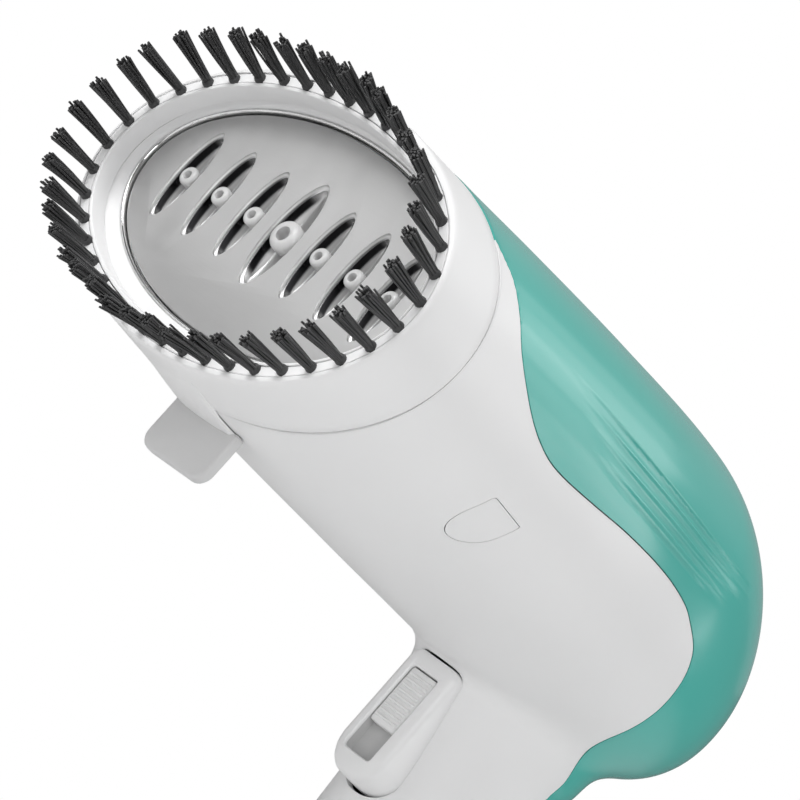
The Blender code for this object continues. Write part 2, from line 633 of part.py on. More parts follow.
def water_tank():
    """Tank shaped to the barrel's inside, with a filler hole and an outlet."""
    side = WALL + 0.45
    cut = 27.5
    tank = loft([barrel_ring(y, side, 40, cut) for y in (50, 65, 80, 100, 114, 125)])
    inner = loft([barrel_ring(y, side + 1.8, 28, cut - 1.8) for y in (51.8, 65, 80, 100, 114, 123.2)])
    boolean(tank, inner)
    x, zc = flap_hinge(), FLAP_Z - 6.6
    boolean(tank, rod((x - 16, FLAP_Y, zc), (x + 5, FLAP_Y, zc), 5.0, 16))
    boolean(tank, rod((-15, 120, -18), (-15, 130, -18), 2.3, 12))
    return place(tank, "water_tank", "tank_clear")


def bulkhead():
    """Plate across the barrel that carries the pump."""
    plate = loft([barrel_ring(y, WALL + 0.45, 40) for y in (125.3, 127.8)])
    boolean(plate, rod((-15, 120, -18), (-15, 130, -18), 3.2, 12))
    boolean(plate, rod((-8, 120, 33), (-8, 130, 33), 3.2, 12))
    boolean(plate, box(-12, 12, 120, 135, -40, -26))
    return place(plate, "bulkhead", "frame_plastic")


def pump():
    body = turned([(10.5, 0.3), (12, 1.5), (12, 22), (9, 26), (4, 28)], (2, 127.8, 6), "Y", 24)
    boolean(body, box(-14, 18, 128.1, 131.0, -9, -3), "UNION")
    return place(body, "pump", "pump_body")


def tubes():
    feed = smooth_path([(-8, 141, 16.6), (-8, 139, 26), (-8, 133, 32.5), (-8, 124, 33), (-8, 90, 32.2), (-9, 56, 32), (-12, 47.6, 29.6), (-22, 45.4, 22),
                        (-34, 43, 12), (-36, 41, 5), (-36, 36.3, 4)], 2)
    a = place(pipe(feed, 2.2, 1.2, 8), "feed_tube", "tube_silicone")
    suck = smooth_path([(-15, 121.5, -18), (-15, 127, -18), (-15, 133, -17), (-14, 140, -10), (-11.9, 146, -4.5)], 2)
    b = place(pipe(suck, 2.0, 1.1, 8), "suction_tube", "tube_silicone")
    return a, b


def handle_end_cap():
    rings = [handle_ring(HANDLE_END - GAP, 0.0), handle_ring(HANDLE_END - 5.5, 0.0), handle_ring(HANDLE_END - 7.2, 0.8),
             handle_ring(HANDLE_END - 8.0, 2.6)]
    cap = loft(rings)
    plug = loft([handle_ring(HANDLE_END + 5, 2.6), handle_ring(HANDLE_END - 3, 2.6)])
    boolean(cap, plug, "UNION")
    boolean(cap, loft([handle_ring(HANDLE_END + 7, 4.6), handle_ring(HANDLE_END - 4, 4.6)]))
    boolean(cap, rod((0, 160.4, -170), (0, 160.4, -140), 5.3, 20))
    return place(cap, "handle_end_cap", "cap_plastic")


def cord_gland():
    prof = [(3.2, 0.5), (5.0, 0.5), (5.0, 4.2), (6.8, 4.3), (6.8, 6.0), (4.2, 9.0), (3.2, 9.0)]
    return place(turned(prof, (0, 160.4, HANDLE_END - 8.0), "Z", 18, closed=True), "cord_gland", "gland_rubber")


def main():
    clear_scene()
    shells()
    brush_ring()
    bristle_tufts()
    head_housing()
    steam_plate()
    plate_trim_ring()
    for k in range(SLOTS):
        nozzle(k)
    steam_gasket()
    boiler()
    for i in range(4):
        boiler_screw(i)
    heating_element()
    thermostat()
    thermal_fuse()
    water_tank()
    filler_flap()
    bulkhead()
    pump()
    tubes()
    steam_trigger()
    trigger_lock()
    trigger_pin()
    trigger_spring()
    microswitch()
    circuit_board()
    board_parts()
    handle_end_cap()
    cord_gland()


main()
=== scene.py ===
import math
import bpy
import bmesh
import numpy as np
from mathutils import Matrix, Vector


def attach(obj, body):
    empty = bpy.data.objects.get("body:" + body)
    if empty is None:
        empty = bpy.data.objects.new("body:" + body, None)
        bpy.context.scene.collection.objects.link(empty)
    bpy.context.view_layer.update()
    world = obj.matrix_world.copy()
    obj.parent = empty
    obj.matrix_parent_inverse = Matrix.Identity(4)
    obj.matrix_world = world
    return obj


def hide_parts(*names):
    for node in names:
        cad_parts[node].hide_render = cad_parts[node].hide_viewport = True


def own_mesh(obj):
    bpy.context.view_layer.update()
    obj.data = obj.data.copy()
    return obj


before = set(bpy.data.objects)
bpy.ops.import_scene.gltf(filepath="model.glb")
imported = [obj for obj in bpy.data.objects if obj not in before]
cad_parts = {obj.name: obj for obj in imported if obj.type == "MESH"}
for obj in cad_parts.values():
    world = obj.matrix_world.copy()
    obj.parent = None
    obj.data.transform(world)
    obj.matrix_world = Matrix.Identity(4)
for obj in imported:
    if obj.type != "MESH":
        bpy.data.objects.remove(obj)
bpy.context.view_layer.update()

# ---------------------------------------------------------------- sizes, in mm about the middle of the brush rim
HOME = np.array([0.0, -91.61, 160.0])
# depth, half width, top, underside
BARREL = [(0, 54.4, 34.9, -34.9), (18, 55.0, 36.2, -35.1), (50, 54.8, 39.4, -34.4), (90, 53.7, 43.0, -33.0),
          (135, 48.0, 45.8, -31.4), (192, 43.4, 38.5, -30.9)]
CAP_FROM, BARREL_END, CAP_POWER, CAP_DROP = 135.0, 199.0, 2.28, 10.3
BARREL_POWER, HEAD_POWER = 2.1, 2.04     # squareness of the ovals of the barrel and of the head
BLEND = 3.2                              # width of the round between barrel and handle
# height, front, back, half width
HANDLE = [(0, 122, 184, 34), (-14, 124.5, 185, 32), (-20, 126.5, 185.5, 28.5), (-26, 128.4, 186, 25.2),
          (-30, 129.6, 186.6, 23.6), (-34, 130.6, 186.8, 22.4), (-38, 131.2, 186, 21), (-45, 133.2, 185.5, 19.9),
          (-60, 136.3, 184.0, 18.8), (-90, 138.6, 182.3, 18.0), (-120, 139.6, 181.5, 17.7), (-160, 139.6, 181.5, 18)]
# seam between the two shells, seen from the side: depth, height
SPLIT = [(18.3, 60), (18.3, 28), (20, 26.3), (23.5, 23.8), (26.5, 19.2), (30.5, 13.5), (38, 8.4), (46, 4.9),
         (54.5, 3.1), (62, 3.1), (75, 4.6), (90, 6.6), (110, 8.2), (124, 7.9), (131, 6.3), (138.2, 3.6), (142.6, 0.2),
         (145.8, -3.6), (149.5, -9.4), (152.4, -15.2), (155, -20.4), (158.4, -24.8), (162.5, -29), (165.8, -33.6),
         (167.3, -39), (167.5, -46), (167.5, -200)]
RING_D, HANDLE_END, WALL, SEAM = 18.0, -152.0, 2.3, 0.14
PLATE = (48.3, 26.2, 8.1, 1.5)           # half axes, depth of the face, rise of its middle
SLOT_PITCH, SLOT_DEEP, SLOT_UP, TUFT_L, TUFTS = 11.85, 3.6, 2.3, 14.0, 40
FLAP = (59.6, -10.2, 6.1, 11.0)          # middle, top edge, half width, length
FLAP_GAP = 0.16
TUFT_LINE = (52.1, 31.92)                # half axes of the oval the tufts stand on
FILAMENTS, GOLDEN_ANGLE = 26, 2.399963
POD = (8.2, -32.6, -66.2)                # half width, top, lower end
POD_FACE, POD_CORNER = 129.2, 2.4
LOCK_SLOT = (4.7, -36.9, -60.9)          # half width, top, lower end
CORD_Y = 160.4
CAMERA_M, FRAME_M = 0.860, 0.16427       # camera's distance, width of what it sees there
FAR = 9.0                                # stands for no edge nearby


# ---------------------------------------------------------------- shader maths
class Sock:
    """A shader socket that takes arithmetic."""

    def __init__(self, tree, socket):
        self.tree, self.socket = tree, socket

    def _math(self, op, a, b):
        node = self.tree.nodes.new("ShaderNodeMath")
        node.operation = op
        for slot, value in zip(node.inputs, (a, b)):
            if isinstance(value, Sock):
                self.tree.links.new(value.socket, slot)
            else:
                slot.default_value = value
        return Sock(self.tree, node.outputs[0])

    def __add__(self, other):
        return self._math("ADD", self, other)

    __radd__ = __add__

    def __sub__(self, other):
        return self._math("SUBTRACT", self, other)

    def __rsub__(self, other):
        return self._math("SUBTRACT", other, self)

    def __mul__(self, other):
        return self._math("MULTIPLY", self, other)

    __rmul__ = __mul__


class Finish:
    """A material under construction: node() adds any node, shader() is its Principled node."""

    def __init__(self, name):
        self.mat = bpy.data.materials.new(name)
        self.mat.use_nodes = True
        self.tree = self.mat.node_tree
        self.bsdf = self.tree.nodes["Principled BSDF"]
        self.place = self.node("ShaderNodeTexCoord", out="Object")

    def node(self, kind, settings=None, sockets=None, out=0):
        node = self.tree.nodes.new(kind)
        for key, value in (settings or {}).items():
            if key == "stops":
                ramp = node.color_ramp.elements
                while len(ramp) < len(value):
                    ramp.new(0.5)
                for element, (at, colour) in zip(ramp, value):
                    element.position, element.color = at, (*colour, 1.0)
            else:
                setattr(node, key, value)
        for key, value in (sockets or {}).items():
            self.put(node.inputs[key], value)
        return Sock(self.tree, node.outputs[out])

    def put(self, slot, value):
        if isinstance(value, Sock):
            self.tree.links.new(value.socket, slot)
        else:
            slot.default_value = value

    def noise(self, size_mm, detail=3.0, stretch=(1.0, 1.0, 1.0)):
        """Noise from 0 to 1 with features of about size_mm, drawn out along an axis by a small stretch value."""
        at = self.node("ShaderNodeMapping", sockets={"Vector": self.place, "Scale": stretch})
        return self.node("ShaderNodeTexNoise",
                         sockets={"Vector": at, "Scale": 1000.0 / size_mm, "Detail": detail})

    def tint(self, mask, low, high):
        """Colour between two tones by a mask."""
        return self.node("ShaderNodeMix", {"data_type": "RGBA"},
                         {"Factor": mask, 6: (*low, 1.0), 7: (*high, 1.0)}, out=2)

    def step(self, value, low, high):
        """Smooth rise from 0 at low to 1 at high."""
        return self.node("ShaderNodeMapRange", {"interpolation_type": "SMOOTHSTEP"},
                         {"Value": value, "From Min": low, "From Max": high})

    def along(self, axis):
        """Place along one axis in mm."""
        return self.node("ShaderNodeSeparateXYZ", sockets={"Vector": self.place}, out=axis) * 1000.0

    def set(self, **values):
        for key, value in values.items():
            self.put(self.bsdf.inputs[key.replace("_", " ")], value)
        return self.mat

    def bump(self, height, depth_mm):
        return self.node("ShaderNodeBump",
                         sockets={"Height": height, "Distance": depth_mm * 0.001, "Strength": 1.0})


def moulded(name, low, high, rough, coat=0.0, level=0.5):
    """Moulded plastic: faint tone drift, uneven gloss and a fine spark-eroded grain."""
    f = Finish(name)
    drift = f.noise(38.0, 2.0)
    gloss = f.noise(6.0, 4.0)
    f.bsdf.inputs["Coat Weight"].default_value = coat
    f.bsdf.inputs["Coat Roughness"].default_value = 0.12
    f.bsdf.inputs["Specular IOR Level"].default_value = level
    return f.set(Base_Color=f.tint(drift, low, high), Roughness=rough - 0.03 + 0.07 * gloss,
                 Normal=f.bump(f.noise(0.35, 2.0) + 0.6 * f.noise(1.75, 2.0), 0.012))


def metal(name, low, high, rough, stretch=(1.0, 1.0, 1.0), grain_mm=0.5, grain=0.01, spread=0.12):
    """Worked metal: tone and gloss follow a drawn-out grain."""
    f = Finish(name)
    line = f.noise(grain_mm, 3.0, stretch)
    cloud = f.noise(14.0, 3.0)
    return f.set(Base_Color=f.tint(0.6 * line + 0.4 * cloud, low, high), Metallic=1.0,
                 Roughness=rough - spread / 2 + spread * line, Normal=f.bump(line, grain))


def pocket_metal():
    """Satin metal with painted shade: a near-black band down the -x wall of each pocket, standing in for the shade
    and dark reflections there.
    """
    f = Finish("polished_pocket")
    depth = f.along("Y") - (PLATE[2] + HOME[1])
    up = f.along("Z") - (HOME[2] + SLOT_UP)
    side = f.node("ShaderNodeMath", {"operation": "FRACT"}, {0: f.along("X") * (1.0 / SLOT_PITCH) + 7.5})
    # painted shade: near-black and glossier on the -x wall, between depths 0.5 and 2.9 mm, fading towards the tips
    painted_shade = f.step(depth, 0.5, 0.85) * (1.0 - f.step(depth, 2.1, 2.9))
    painted_shade = painted_shade * (1.0 - f.step(side, 0.47, 0.52)) * (1.0 - f.step(up * up, 80.0, 150.0))
    streak = f.noise(1.2, 3.0, (1.0, 1.0, 0.2))
    return f.set(Base_Color=f.tint(painted_shade, (0.64, 0.64, 0.64), (0.015, 0.015, 0.016)), Metallic=1.0,
                 Roughness=0.42 + 0.06 * streak - 0.26 * painted_shade, Normal=f.bump(streak, 0.004))


def soft(name, low, high, rough, grain_mm=0.8, grain=0.03):
    """Rubber, ceramic or other dull stuff."""
    f = Finish(name)
    return f.set(Base_Color=f.tint(f.noise(5.0, 4.0), low, high),
                 Roughness=rough - 0.05 + 0.1 * f.noise(2.0, 3.0), Normal=f.bump(f.noise(grain_mm, 3.0), grain))


def filament_black():
    """Black nylon: each strand differs a little in tone and shine."""
    f = Finish("bristle_strand")
    strand = f.noise(0.9, 2.0, (1.0, 0.06, 1.0))
    return f.set(Base_Color=f.tint(strand, (0.012, 0.012, 0.012), (0.07, 0.07, 0.072)),
                 Roughness=0.34 + 0.25 * strand, Normal=f.bump(f.noise(0.3, 2.0, (1.0, 0.1, 1.0)), 0.02))


def cloudy_silicone():
    """Translucent nozzle rubber with a milky drift."""
    f = Finish("cloudy_silicone")
    f.bsdf.inputs["Transmission Weight"].default_value = 0.42
    f.bsdf.inputs["IOR"].default_value = 1.43
    milk = f.noise(1.6, 3.0)
    return f.set(Base_Color=f.tint(milk, (0.88, 0.88, 0.88), (0.97, 0.97, 0.97)), Roughness=0.05 + 0.10 * milk,
                 Normal=f.bump(milk, 0.03))


def clear_tank():
    f = Finish("tank_plastic")
    f.bsdf.inputs["Transmission Weight"].default_value = 0.6
    haze = f.noise(9.0, 3.0)
    return f.set(Base_Color=f.tint(haze, (0.70, 0.80, 0.86), (0.80, 0.87, 0.90)), Roughness=0.12 + 0.1 * haze)


def make_finishes():
    return {
        "white": moulded("white_shell", (0.800, 0.800, 0.803), (0.835, 0.835, 0.838), 0.36),
        "ring": moulded("ring_plastic", (0.800, 0.800, 0.803), (0.835, 0.835, 0.838), 0.38),
        "tab": moulded("tab_plastic", (0.59, 0.59, 0.592), (0.625, 0.625, 0.627), 0.42),
        "teal": moulded("teal_shell", (0.074, 0.438, 0.382), (0.082, 0.460, 0.403), 0.18, coat=0.22, level=0.32),
        "nose": moulded("nose_plastic", (0.79, 0.79, 0.793), (0.825, 0.825, 0.828), 0.33),
        "inner": moulded("shell_inside", (0.42, 0.42, 0.42), (0.48, 0.48, 0.48), 0.6),
        "plate": metal("brushed_plate", (0.50, 0.50, 0.50), (0.56, 0.56, 0.56), 0.58,
                       stretch=(0.035, 1.0, 1.0), grain_mm=0.45, grain=0.010),
        "pocket": pocket_metal(),
        "trim": metal("bright_trim", (0.72, 0.72, 0.72), (0.86, 0.86, 0.86), 0.09,
                      grain_mm=1.0, grain=0.003, spread=0.05),
        "strand": filament_black(),
        "nozzle": cloudy_silicone(),
        # darker grey for the deep faces of the trigger's slider slot: painted shade in the recess
        "recess": moulded("slot_painted_shade", (0.52, 0.52, 0.52), (0.57, 0.57, 0.57), 0.55),
        "slider": moulded("slider_plastic", (0.79, 0.79, 0.79), (0.825, 0.825, 0.825), 0.45),
        "tank": clear_tank(),
        "cast": metal("cast_alloy", (0.42, 0.42, 0.43), (0.55, 0.55, 0.56), 0.5, grain_mm=1.4, grain=0.06),
        "heater": metal("heater_sheath", (0.28, 0.26, 0.25), (0.44, 0.42, 0.40), 0.38, grain_mm=0.8, grain=0.03),
        "screw": metal("screw_steel", (0.50, 0.50, 0.51), (0.66, 0.66, 0.67), 0.28, grain_mm=0.4, grain=0.02),
        "spring": metal("spring_wire", (0.48, 0.48, 0.49), (0.62, 0.62, 0.63), 0.25, grain_mm=0.5, grain=0.01),
        "rubber": soft("seal_rubber", (0.018, 0.018, 0.019), (0.035, 0.035, 0.036), 0.75),
        "tube": soft("tube_silicone", (0.62, 0.61, 0.57), (0.72, 0.71, 0.67), 0.5),
        "pump": moulded("pump_case", (0.03, 0.03, 0.032), (0.05, 0.05, 0.052), 0.5),
        "switch": moulded("switch_case", (0.02, 0.02, 0.02), (0.035, 0.035, 0.035), 0.42),
        "frame": moulded("frame_plastic", (0.20, 0.20, 0.21), (0.26, 0.26, 0.27), 0.6),
        "ceramic": soft("fuse_ceramic", (0.62, 0.57, 0.48), (0.74, 0.70, 0.60), 0.55),
        "board": soft("board_lacquer", (0.012, 0.09, 0.04), (0.02, 0.14, 0.06), 0.4, 1.6, 0.05),
    }


# ---------------------------------------------------------------- curves and fields of the body
def column(rows, col):
    """Smooth curve through one column of a table, as a function of its first column."""
    rows = sorted(rows)
    xs, ys = np.array([r[0] for r in rows], float), np.array([r[col] for r in rows], float)
    d = np.diff(ys) / np.diff(xs)
    m = np.r_[d[0], [0.0 if a * b <= 0 else 2 * a * b / (a + b) for a, b in zip(d[:-1], d[1:])], d[-1]]

    def value(x):
        x = np.clip(x, xs[0], xs[-1])
        i = np.clip(np.searchsorted(xs, x, "right") - 1, 0, len(xs) - 2)
        h = xs[i + 1] - xs[i]
        t = (x - xs[i]) / h
        return ((2 * t**3 - 3 * t**2 + 1) * ys[i] + (t**3 - 2 * t**2 + t) * h * m[i]
                + (3 * t**2 - 2 * t**3) * ys[i + 1] + (t**3 - t**2) * h * m[i + 1])
    return value


B_HALF, B_TOP, B_LOW = (column(BARREL, c) for c in (1, 2, 3))
H_FRONT, H_BACK, H_HALF = (column(HANDLE, c) for c in (1, 2, 3))


def flute_top(y):
    """Height of the uppermost crest."""
    return 21.4 + 0.034 * (y - 60)


def flute_low(y):
    """Height of the lowest crest."""
    return 9.4 + 0.050 * (y - 60)


def flutes(p):
    """Depth of the long shallow flutes on both sides of the rear shell, with narrow crests between them."""
    x, y, z = p[:, 0], p[:, 1], p[:, 2]
    u = 4.0 * (flute_top(y) - z) / (flute_top(y) - flute_low(y))
    late = 5.0 * np.clip(u, 0, 4)
    along = np.clip((y - 46 - late) / 36, 0, 1) * np.clip((152 - 0.6 * late - y) / 40, 0, 1)
    fade = along * along * (3 - 2 * along)
    wave = 1 - np.exp(-(np.sin(np.pi * np.clip(u, 0, 4)) / 0.62)**2)
    near = np.clip(u / 0.35, 0, 1) * np.clip((4 - u) / 0.5, 0, 1)
    return 0.50 * wave * near * fade * (np.abs(x) > 10)


def body_field(p, plain=False):
    """Rough signed distance to the blended outer skin of barrel and handle."""
    x, y, z = p[:, 0], p[:, 1], p[:, 2]
    t = np.clip((y - CAP_FROM) / (BARREL_END - CAP_FROM), 0, 3)
    hx, top, low = B_HALF(y), B_TOP(y), B_LOW(y)
    mid, hz = (top + low) / 2 - CAP_DROP * t * t, (top - low) / 2
    r = (np.abs(x / hx)**BARREL_POWER + np.abs((z - mid) / hz)**BARREL_POWER + 1e-9)**(1 / BARREL_POWER)
    barrel = ((r**CAP_POWER + t**CAP_POWER)**(1 / CAP_POWER) - 1) * 36.0
    front, back, half = H_FRONT(z), H_BACK(z), H_HALF(z)
    grip = (np.sqrt((x / half)**2 + ((y - (front + back) / 2) / ((back - front) / 2))**2 + 1e-9) - 1) * 19.0
    grip = np.maximum(grip, z + 4)
    h = np.clip(0.5 + 0.5 * (grip - barrel) / BLEND, 0, 1)
    d = grip * (1 - h) + barrel * h - BLEND * h * (1 - h)
    return d if plain else d + flutes(p)


def gradient(p, plain=False, e=0.05):
    """Slope of the field at each point, by central differences e to each side."""
    return np.stack([(body_field(p + s, plain) - body_field(p - s, plain)) / (2 * e)
                     for s in (np.array([e, 0, 0]), np.array([0, e, 0]), np.array([0, 0, e]))], axis=1)


def to_skin(p, rounds=5):
    """Moves points onto the outer skin, step by step along the slope."""
    for _ in range(rounds):
        g = gradient(p)
        p = p - (body_field(p) / np.maximum((g * g).sum(1), 1e-3))[:, None] * g
    return p


def rounded_line(points, per=6):
    """Smooth open curve through 2-D points."""
    p = np.asarray(points, float)
    p = np.concatenate([[2 * p[0] - p[1]], p, [2 * p[-1] - p[-2]]])
    out = []
    for a, b, c, d in zip(p[:-3], p[1:-2], p[2:-1], p[3:]):
        h = np.linalg.norm(c - b)
        m0 = (c - a) / (np.linalg.norm(c - a) + 1e-9) * h
        m1 = (d - b) / (np.linalg.norm(d - b) + 1e-9) * h
        t = np.linspace(0, 1, per, endpoint=False)[:, None]
        out.append((2 * t**3 - 3 * t**2 + 1) * b + (t**3 - 2 * t**2 + t) * m0
                   + (3 * t**2 - 2 * t**3) * c + (t**3 - t**2) * m1)
    return np.concatenate(out + [p[-2:-1]])


def outline_distance(poly, q):
    """Signed distance from 2-D points to a closed outline, negative inside."""
    a = np.asarray(poly, float)
    b = np.roll(a, -1, axis=0)
    best = np.full(len(q), 1e9)
    inside = np.zeros(len(q), bool)
    for (ax, ay), (bx, by) in zip(a, b):
        dx, dy = bx - ax, by - ay
        t = np.clip(((q[:, 0] - ax) * dx + (q[:, 1] - ay) * dy) / (dx * dx + dy * dy + 1e-12), 0, 1)
        best = np.minimum(best, np.hypot(q[:, 0] - ax - t * dx, q[:, 1] - ay - t * dy))
        if ay != by:
            inside ^= ((ay > q[:, 1]) != (by > q[:, 1])) & (q[:, 0] < dx * (q[:, 1] - ay) / dy + ax)
    return np.where(inside, -best, best)


def cut(verts, tris, s):
    """The part of a triangle skin where s is below zero, cut cleanly along s = 0."""
    keep, new, made = s < 0, [], {}

    def point(a, b):
        key = (min(a, b), max(a, b))
        if key not in made:
            t = s[key[0]] / (s[key[0]] - s[key[1]])
            made[key] = len(verts) + len(new)
            new.append(verts[key[0]] * (1 - t) + verts[key[1]] * t)
        return made[key]

    count = keep[tris].sum(1)
    extra = []
    for tri in tris[(count == 1) | (count == 2)]:
        ins = [bool(keep[v]) for v in tri]
        lone = ins.index(True) if sum(ins) == 1 else ins.index(False)
        a, b, c = int(tri[lone]), int(tri[(lone + 1) % 3]), int(tri[(lone + 2) % 3])
        ab, ac = point(a, b), point(a, c)
        extra += [(a, ab, ac)] if sum(ins) == 1 else [(ab, b, c), (ab, c, ac)]
    tris = np.concatenate([tris[count == 3], np.array(extra, int).reshape(-1, 3)])
    verts = np.concatenate([verts, np.array(new).reshape(-1, 3)])
    used, back = np.unique(tris, return_inverse=True)
    return verts[used], back.reshape(-1, 3)


# ---------------------------------------------------------------- mesh helpers
def put_in_scene(name, me):
    ob = bpy.data.objects.new(name, me)
    bpy.context.scene.collection.objects.link(ob)
    return ob


def mesh_object(name, verts, faces, mats, smooth=35.0):
    """Object from points in mm; faces are turned outward and shaded smooth below the given angle."""
    me = bpy.data.meshes.new(name)
    pts = (np.asarray(verts, float) + HOME) * 0.001
    me.from_pydata([tuple(p) for p in pts], [], [tuple(int(i) for i in f) for f in faces])
    bm = bmesh.new()
    bm.from_mesh(me)
    bmesh.ops.recalc_face_normals(bm, faces=bm.faces)
    bm.to_mesh(me)
    bm.free()
    for m in mats:
        me.materials.append(m)
    me.shade_smooth()
    if smooth:
        me.set_sharp_from_angle(angle=math.radians(smooth))
    return put_in_scene(name, me)


def oval(rx, rz, n, zc=0.0, power=2.0):
    """n points round an oval, squarer the larger the power."""
    a = np.linspace(0, 2 * np.pi, n, endpoint=False)
    c, s, e = np.cos(a), np.sin(a), 2 / power
    return np.c_[np.sign(c) * np.abs(c)**e * rx, np.sign(s) * np.abs(s)**e * rz + zc]


def ring_faces(m, n, loop=False):
    """Quads between m rings of n points, with the last ring joined to the first one in a loop."""
    return [(i * n + j, i * n + (j + 1) % n, (i + 1) % m * n + (j + 1) % n, (i + 1) % m * n + j)
            for i in range(m if loop else m - 1) for j in range(n)]


def oval_sweep(path, n=240):
    """Points and quads of a closed profile carried round ovals: each step of path is (rx, rz, y[, zc])."""
    rings = [np.insert(oval(p[0], p[1], n, p[3] if len(p) > 3 else 0.0, HEAD_POWER), 1, p[2], axis=1) for p in path]
    return np.concatenate(rings), ring_faces(len(rings), n, loop=True)


def arc(cx, cy, r, a0, a1, n=5):
    """n + 1 points of an arc, angles in degrees."""
    return [(cx + r * math.cos(math.radians(a0 + (a1 - a0) * k / n)),
             cy + r * math.sin(math.radians(a0 + (a1 - a0) * k / n))) for k in range(n + 1)]


def loft(rings):
    """Points and faces of a capped skin over equal rings."""
    n, m = len(rings[0]), len(rings)
    caps = [tuple(range(n)), tuple(range((m - 1) * n, m * n))]
    return np.concatenate([np.asarray(r, float) for r in rings]), ring_faces(m, n) + caps


def turned(profile, centre, axis="Y", n=48):
    """Closed profile of (radius, along) turned about an axis."""
    rings = []
    for r, s in profile:
        a = np.linspace(0, 2 * np.pi, n, endpoint=False)
        c, q, k = r * np.cos(a), r * np.sin(a), np.full(n, float(s))
        rings.append(np.stack({"Y": (c, k, q), "Z": (c, q, k), "X": (k, c, q)}[axis], axis=1) + centre)
    return np.concatenate(rings), ring_faces(len(rings), n, loop=True)


def merged(parts):
    """Several lofts or turnings as one set of points and faces."""
    verts, faces, base = [], [], 0
    for v, f in parts:
        verts.append(np.asarray(v, float))
        faces += [tuple(i + base for i in face) for face in f]
        base += len(v)
    return np.concatenate(verts), faces


def baked(ob):
    """Applies an object's modifiers to its mesh."""
    bpy.context.view_layer.update()
    me = bpy.data.meshes.new_from_object(ob.evaluated_get(bpy.context.evaluated_depsgraph_get()))
    ob.modifiers.clear()
    ob.data = me
    return ob


def carve(ob, cutter, op="DIFFERENCE"):
    """Cuts the cutter out of an object, or joins the two, and removes the cutter."""
    mod = ob.modifiers.new("carve", "BOOLEAN")
    mod.operation, mod.solver, mod.object = op, "EXACT", cutter
    baked(ob)
    bpy.data.objects.remove(cutter, do_unlink=True)
    return ob


def soften(ob, width_mm, segments=3):
    """Rounds an object's sharp edges and bakes the result."""
    mod = ob.modifiers.new("soften", "BEVEL")
    mod.width, mod.segments, mod.limit_method = width_mm * 0.001, segments, "ANGLE"
    mod.angle_limit = math.radians(30)
    baked(ob)
    ob.data.shade_smooth()
    ob.data.set_sharp_from_angle(angle=math.radians(40))
    return ob


def finish_piece(ob, body, slot, *nodes):
    """Puts a piece on its body and hides the nodes it stands for; its finish name, slot, is not used."""
    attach(ob, body)
    if nodes:
        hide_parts(*nodes)
    return ob


# ---------------------------------------------------------------- outer skin
def raw_skin():
    """Even triangle skin of barrel and handle, laid onto the blended field."""
    cap = np.sin(np.linspace(0, np.pi / 2, 24))[1:]
    ys = np.r_[np.linspace(4, CAP_FROM, 40), CAP_FROM + (BARREL_END - 0.4 - CAP_FROM) * cap]
    rings = []
    for y in ys:
        t = max(0.0, (y - CAP_FROM) / (BARREL_END - CAP_FROM))
        k = (1 - t**CAP_POWER)**(1 / CAP_POWER)
        hx, top, low = float(B_HALF(y)), float(B_TOP(y)), float(B_LOW(y))
        mid = (top + low) / 2 - CAP_DROP * t * t
        rings.append(np.insert(oval(hx * k, (top - low) / 2 * k, 96, mid, BARREL_POWER), 1, y, axis=1))
    barrel = mesh_object("skin", *loft(rings), [], smooth=None)
    rings = []
    for z in np.r_[np.linspace(-6, -60, 28), np.linspace(-64, -156, 20)]:
        f, b, h = float(H_FRONT(z)), float(H_BACK(z)), float(H_HALF(z))
        o = oval(h, (b - f) / 2, 72)
        rings.append(np.c_[o[:, 0], o[:, 1] + (f + b) / 2, np.full(72, z)])
    grip = mesh_object("grip", *loft(rings), [], smooth=None)
    carve(barrel, grip, "UNION")
    mod = barrel.modifiers.new("even", "REMESH")
    mod.mode, mod.voxel_size, mod.adaptivity = "VOXEL", 0.00115, 0.0
    baked(barrel)
    refine_flutes(barrel.data)
    me = barrel.data
    v = np.empty(len(me.vertices) * 3)
    me.vertices.foreach_get("co", v)
    t = np.empty(len(me.polygons) * 3, np.int32)
    me.polygons.foreach_get("vertices", t)
    bpy.data.objects.remove(barrel, do_unlink=True)
    v = v.reshape(-1, 3) * 1000 - HOME
    t = t.reshape(-1, 3)
    v, t = cut(v, t, 9.0 - v[:, 1])
    v, t = cut(v, t, HANDLE_END - 1.5 - v[:, 2])
    return to_skin(v), t


def refine_flutes(me):
    """Splits the mesh finely where the flutes run, so their crests stay crisp, and turns it to triangles."""
    bm = bmesh.new()
    bm.from_mesh(me)

    def near(v):
        x, y, z = (c * 1000 - h for c, h in zip(v.co, HOME))
        return abs(x) > 30 and 46 < y < 154 and flute_low(y) - 1.5 < z < flute_top(y) + 1.5

    bmesh.ops.triangulate(bm, faces=bm.faces)
    for _ in range(2):
        edges = [e for e in bm.edges if near(e.verts[0]) and near(e.verts[1])]
        bmesh.ops.subdivide_edges(bm, edges=edges, cuts=1, use_grid_fill=False)
        bmesh.ops.triangulate(bm, faces=[f for f in bm.faces if len(f.verts) > 3])
    bm.to_mesh(me)
    bm.free()


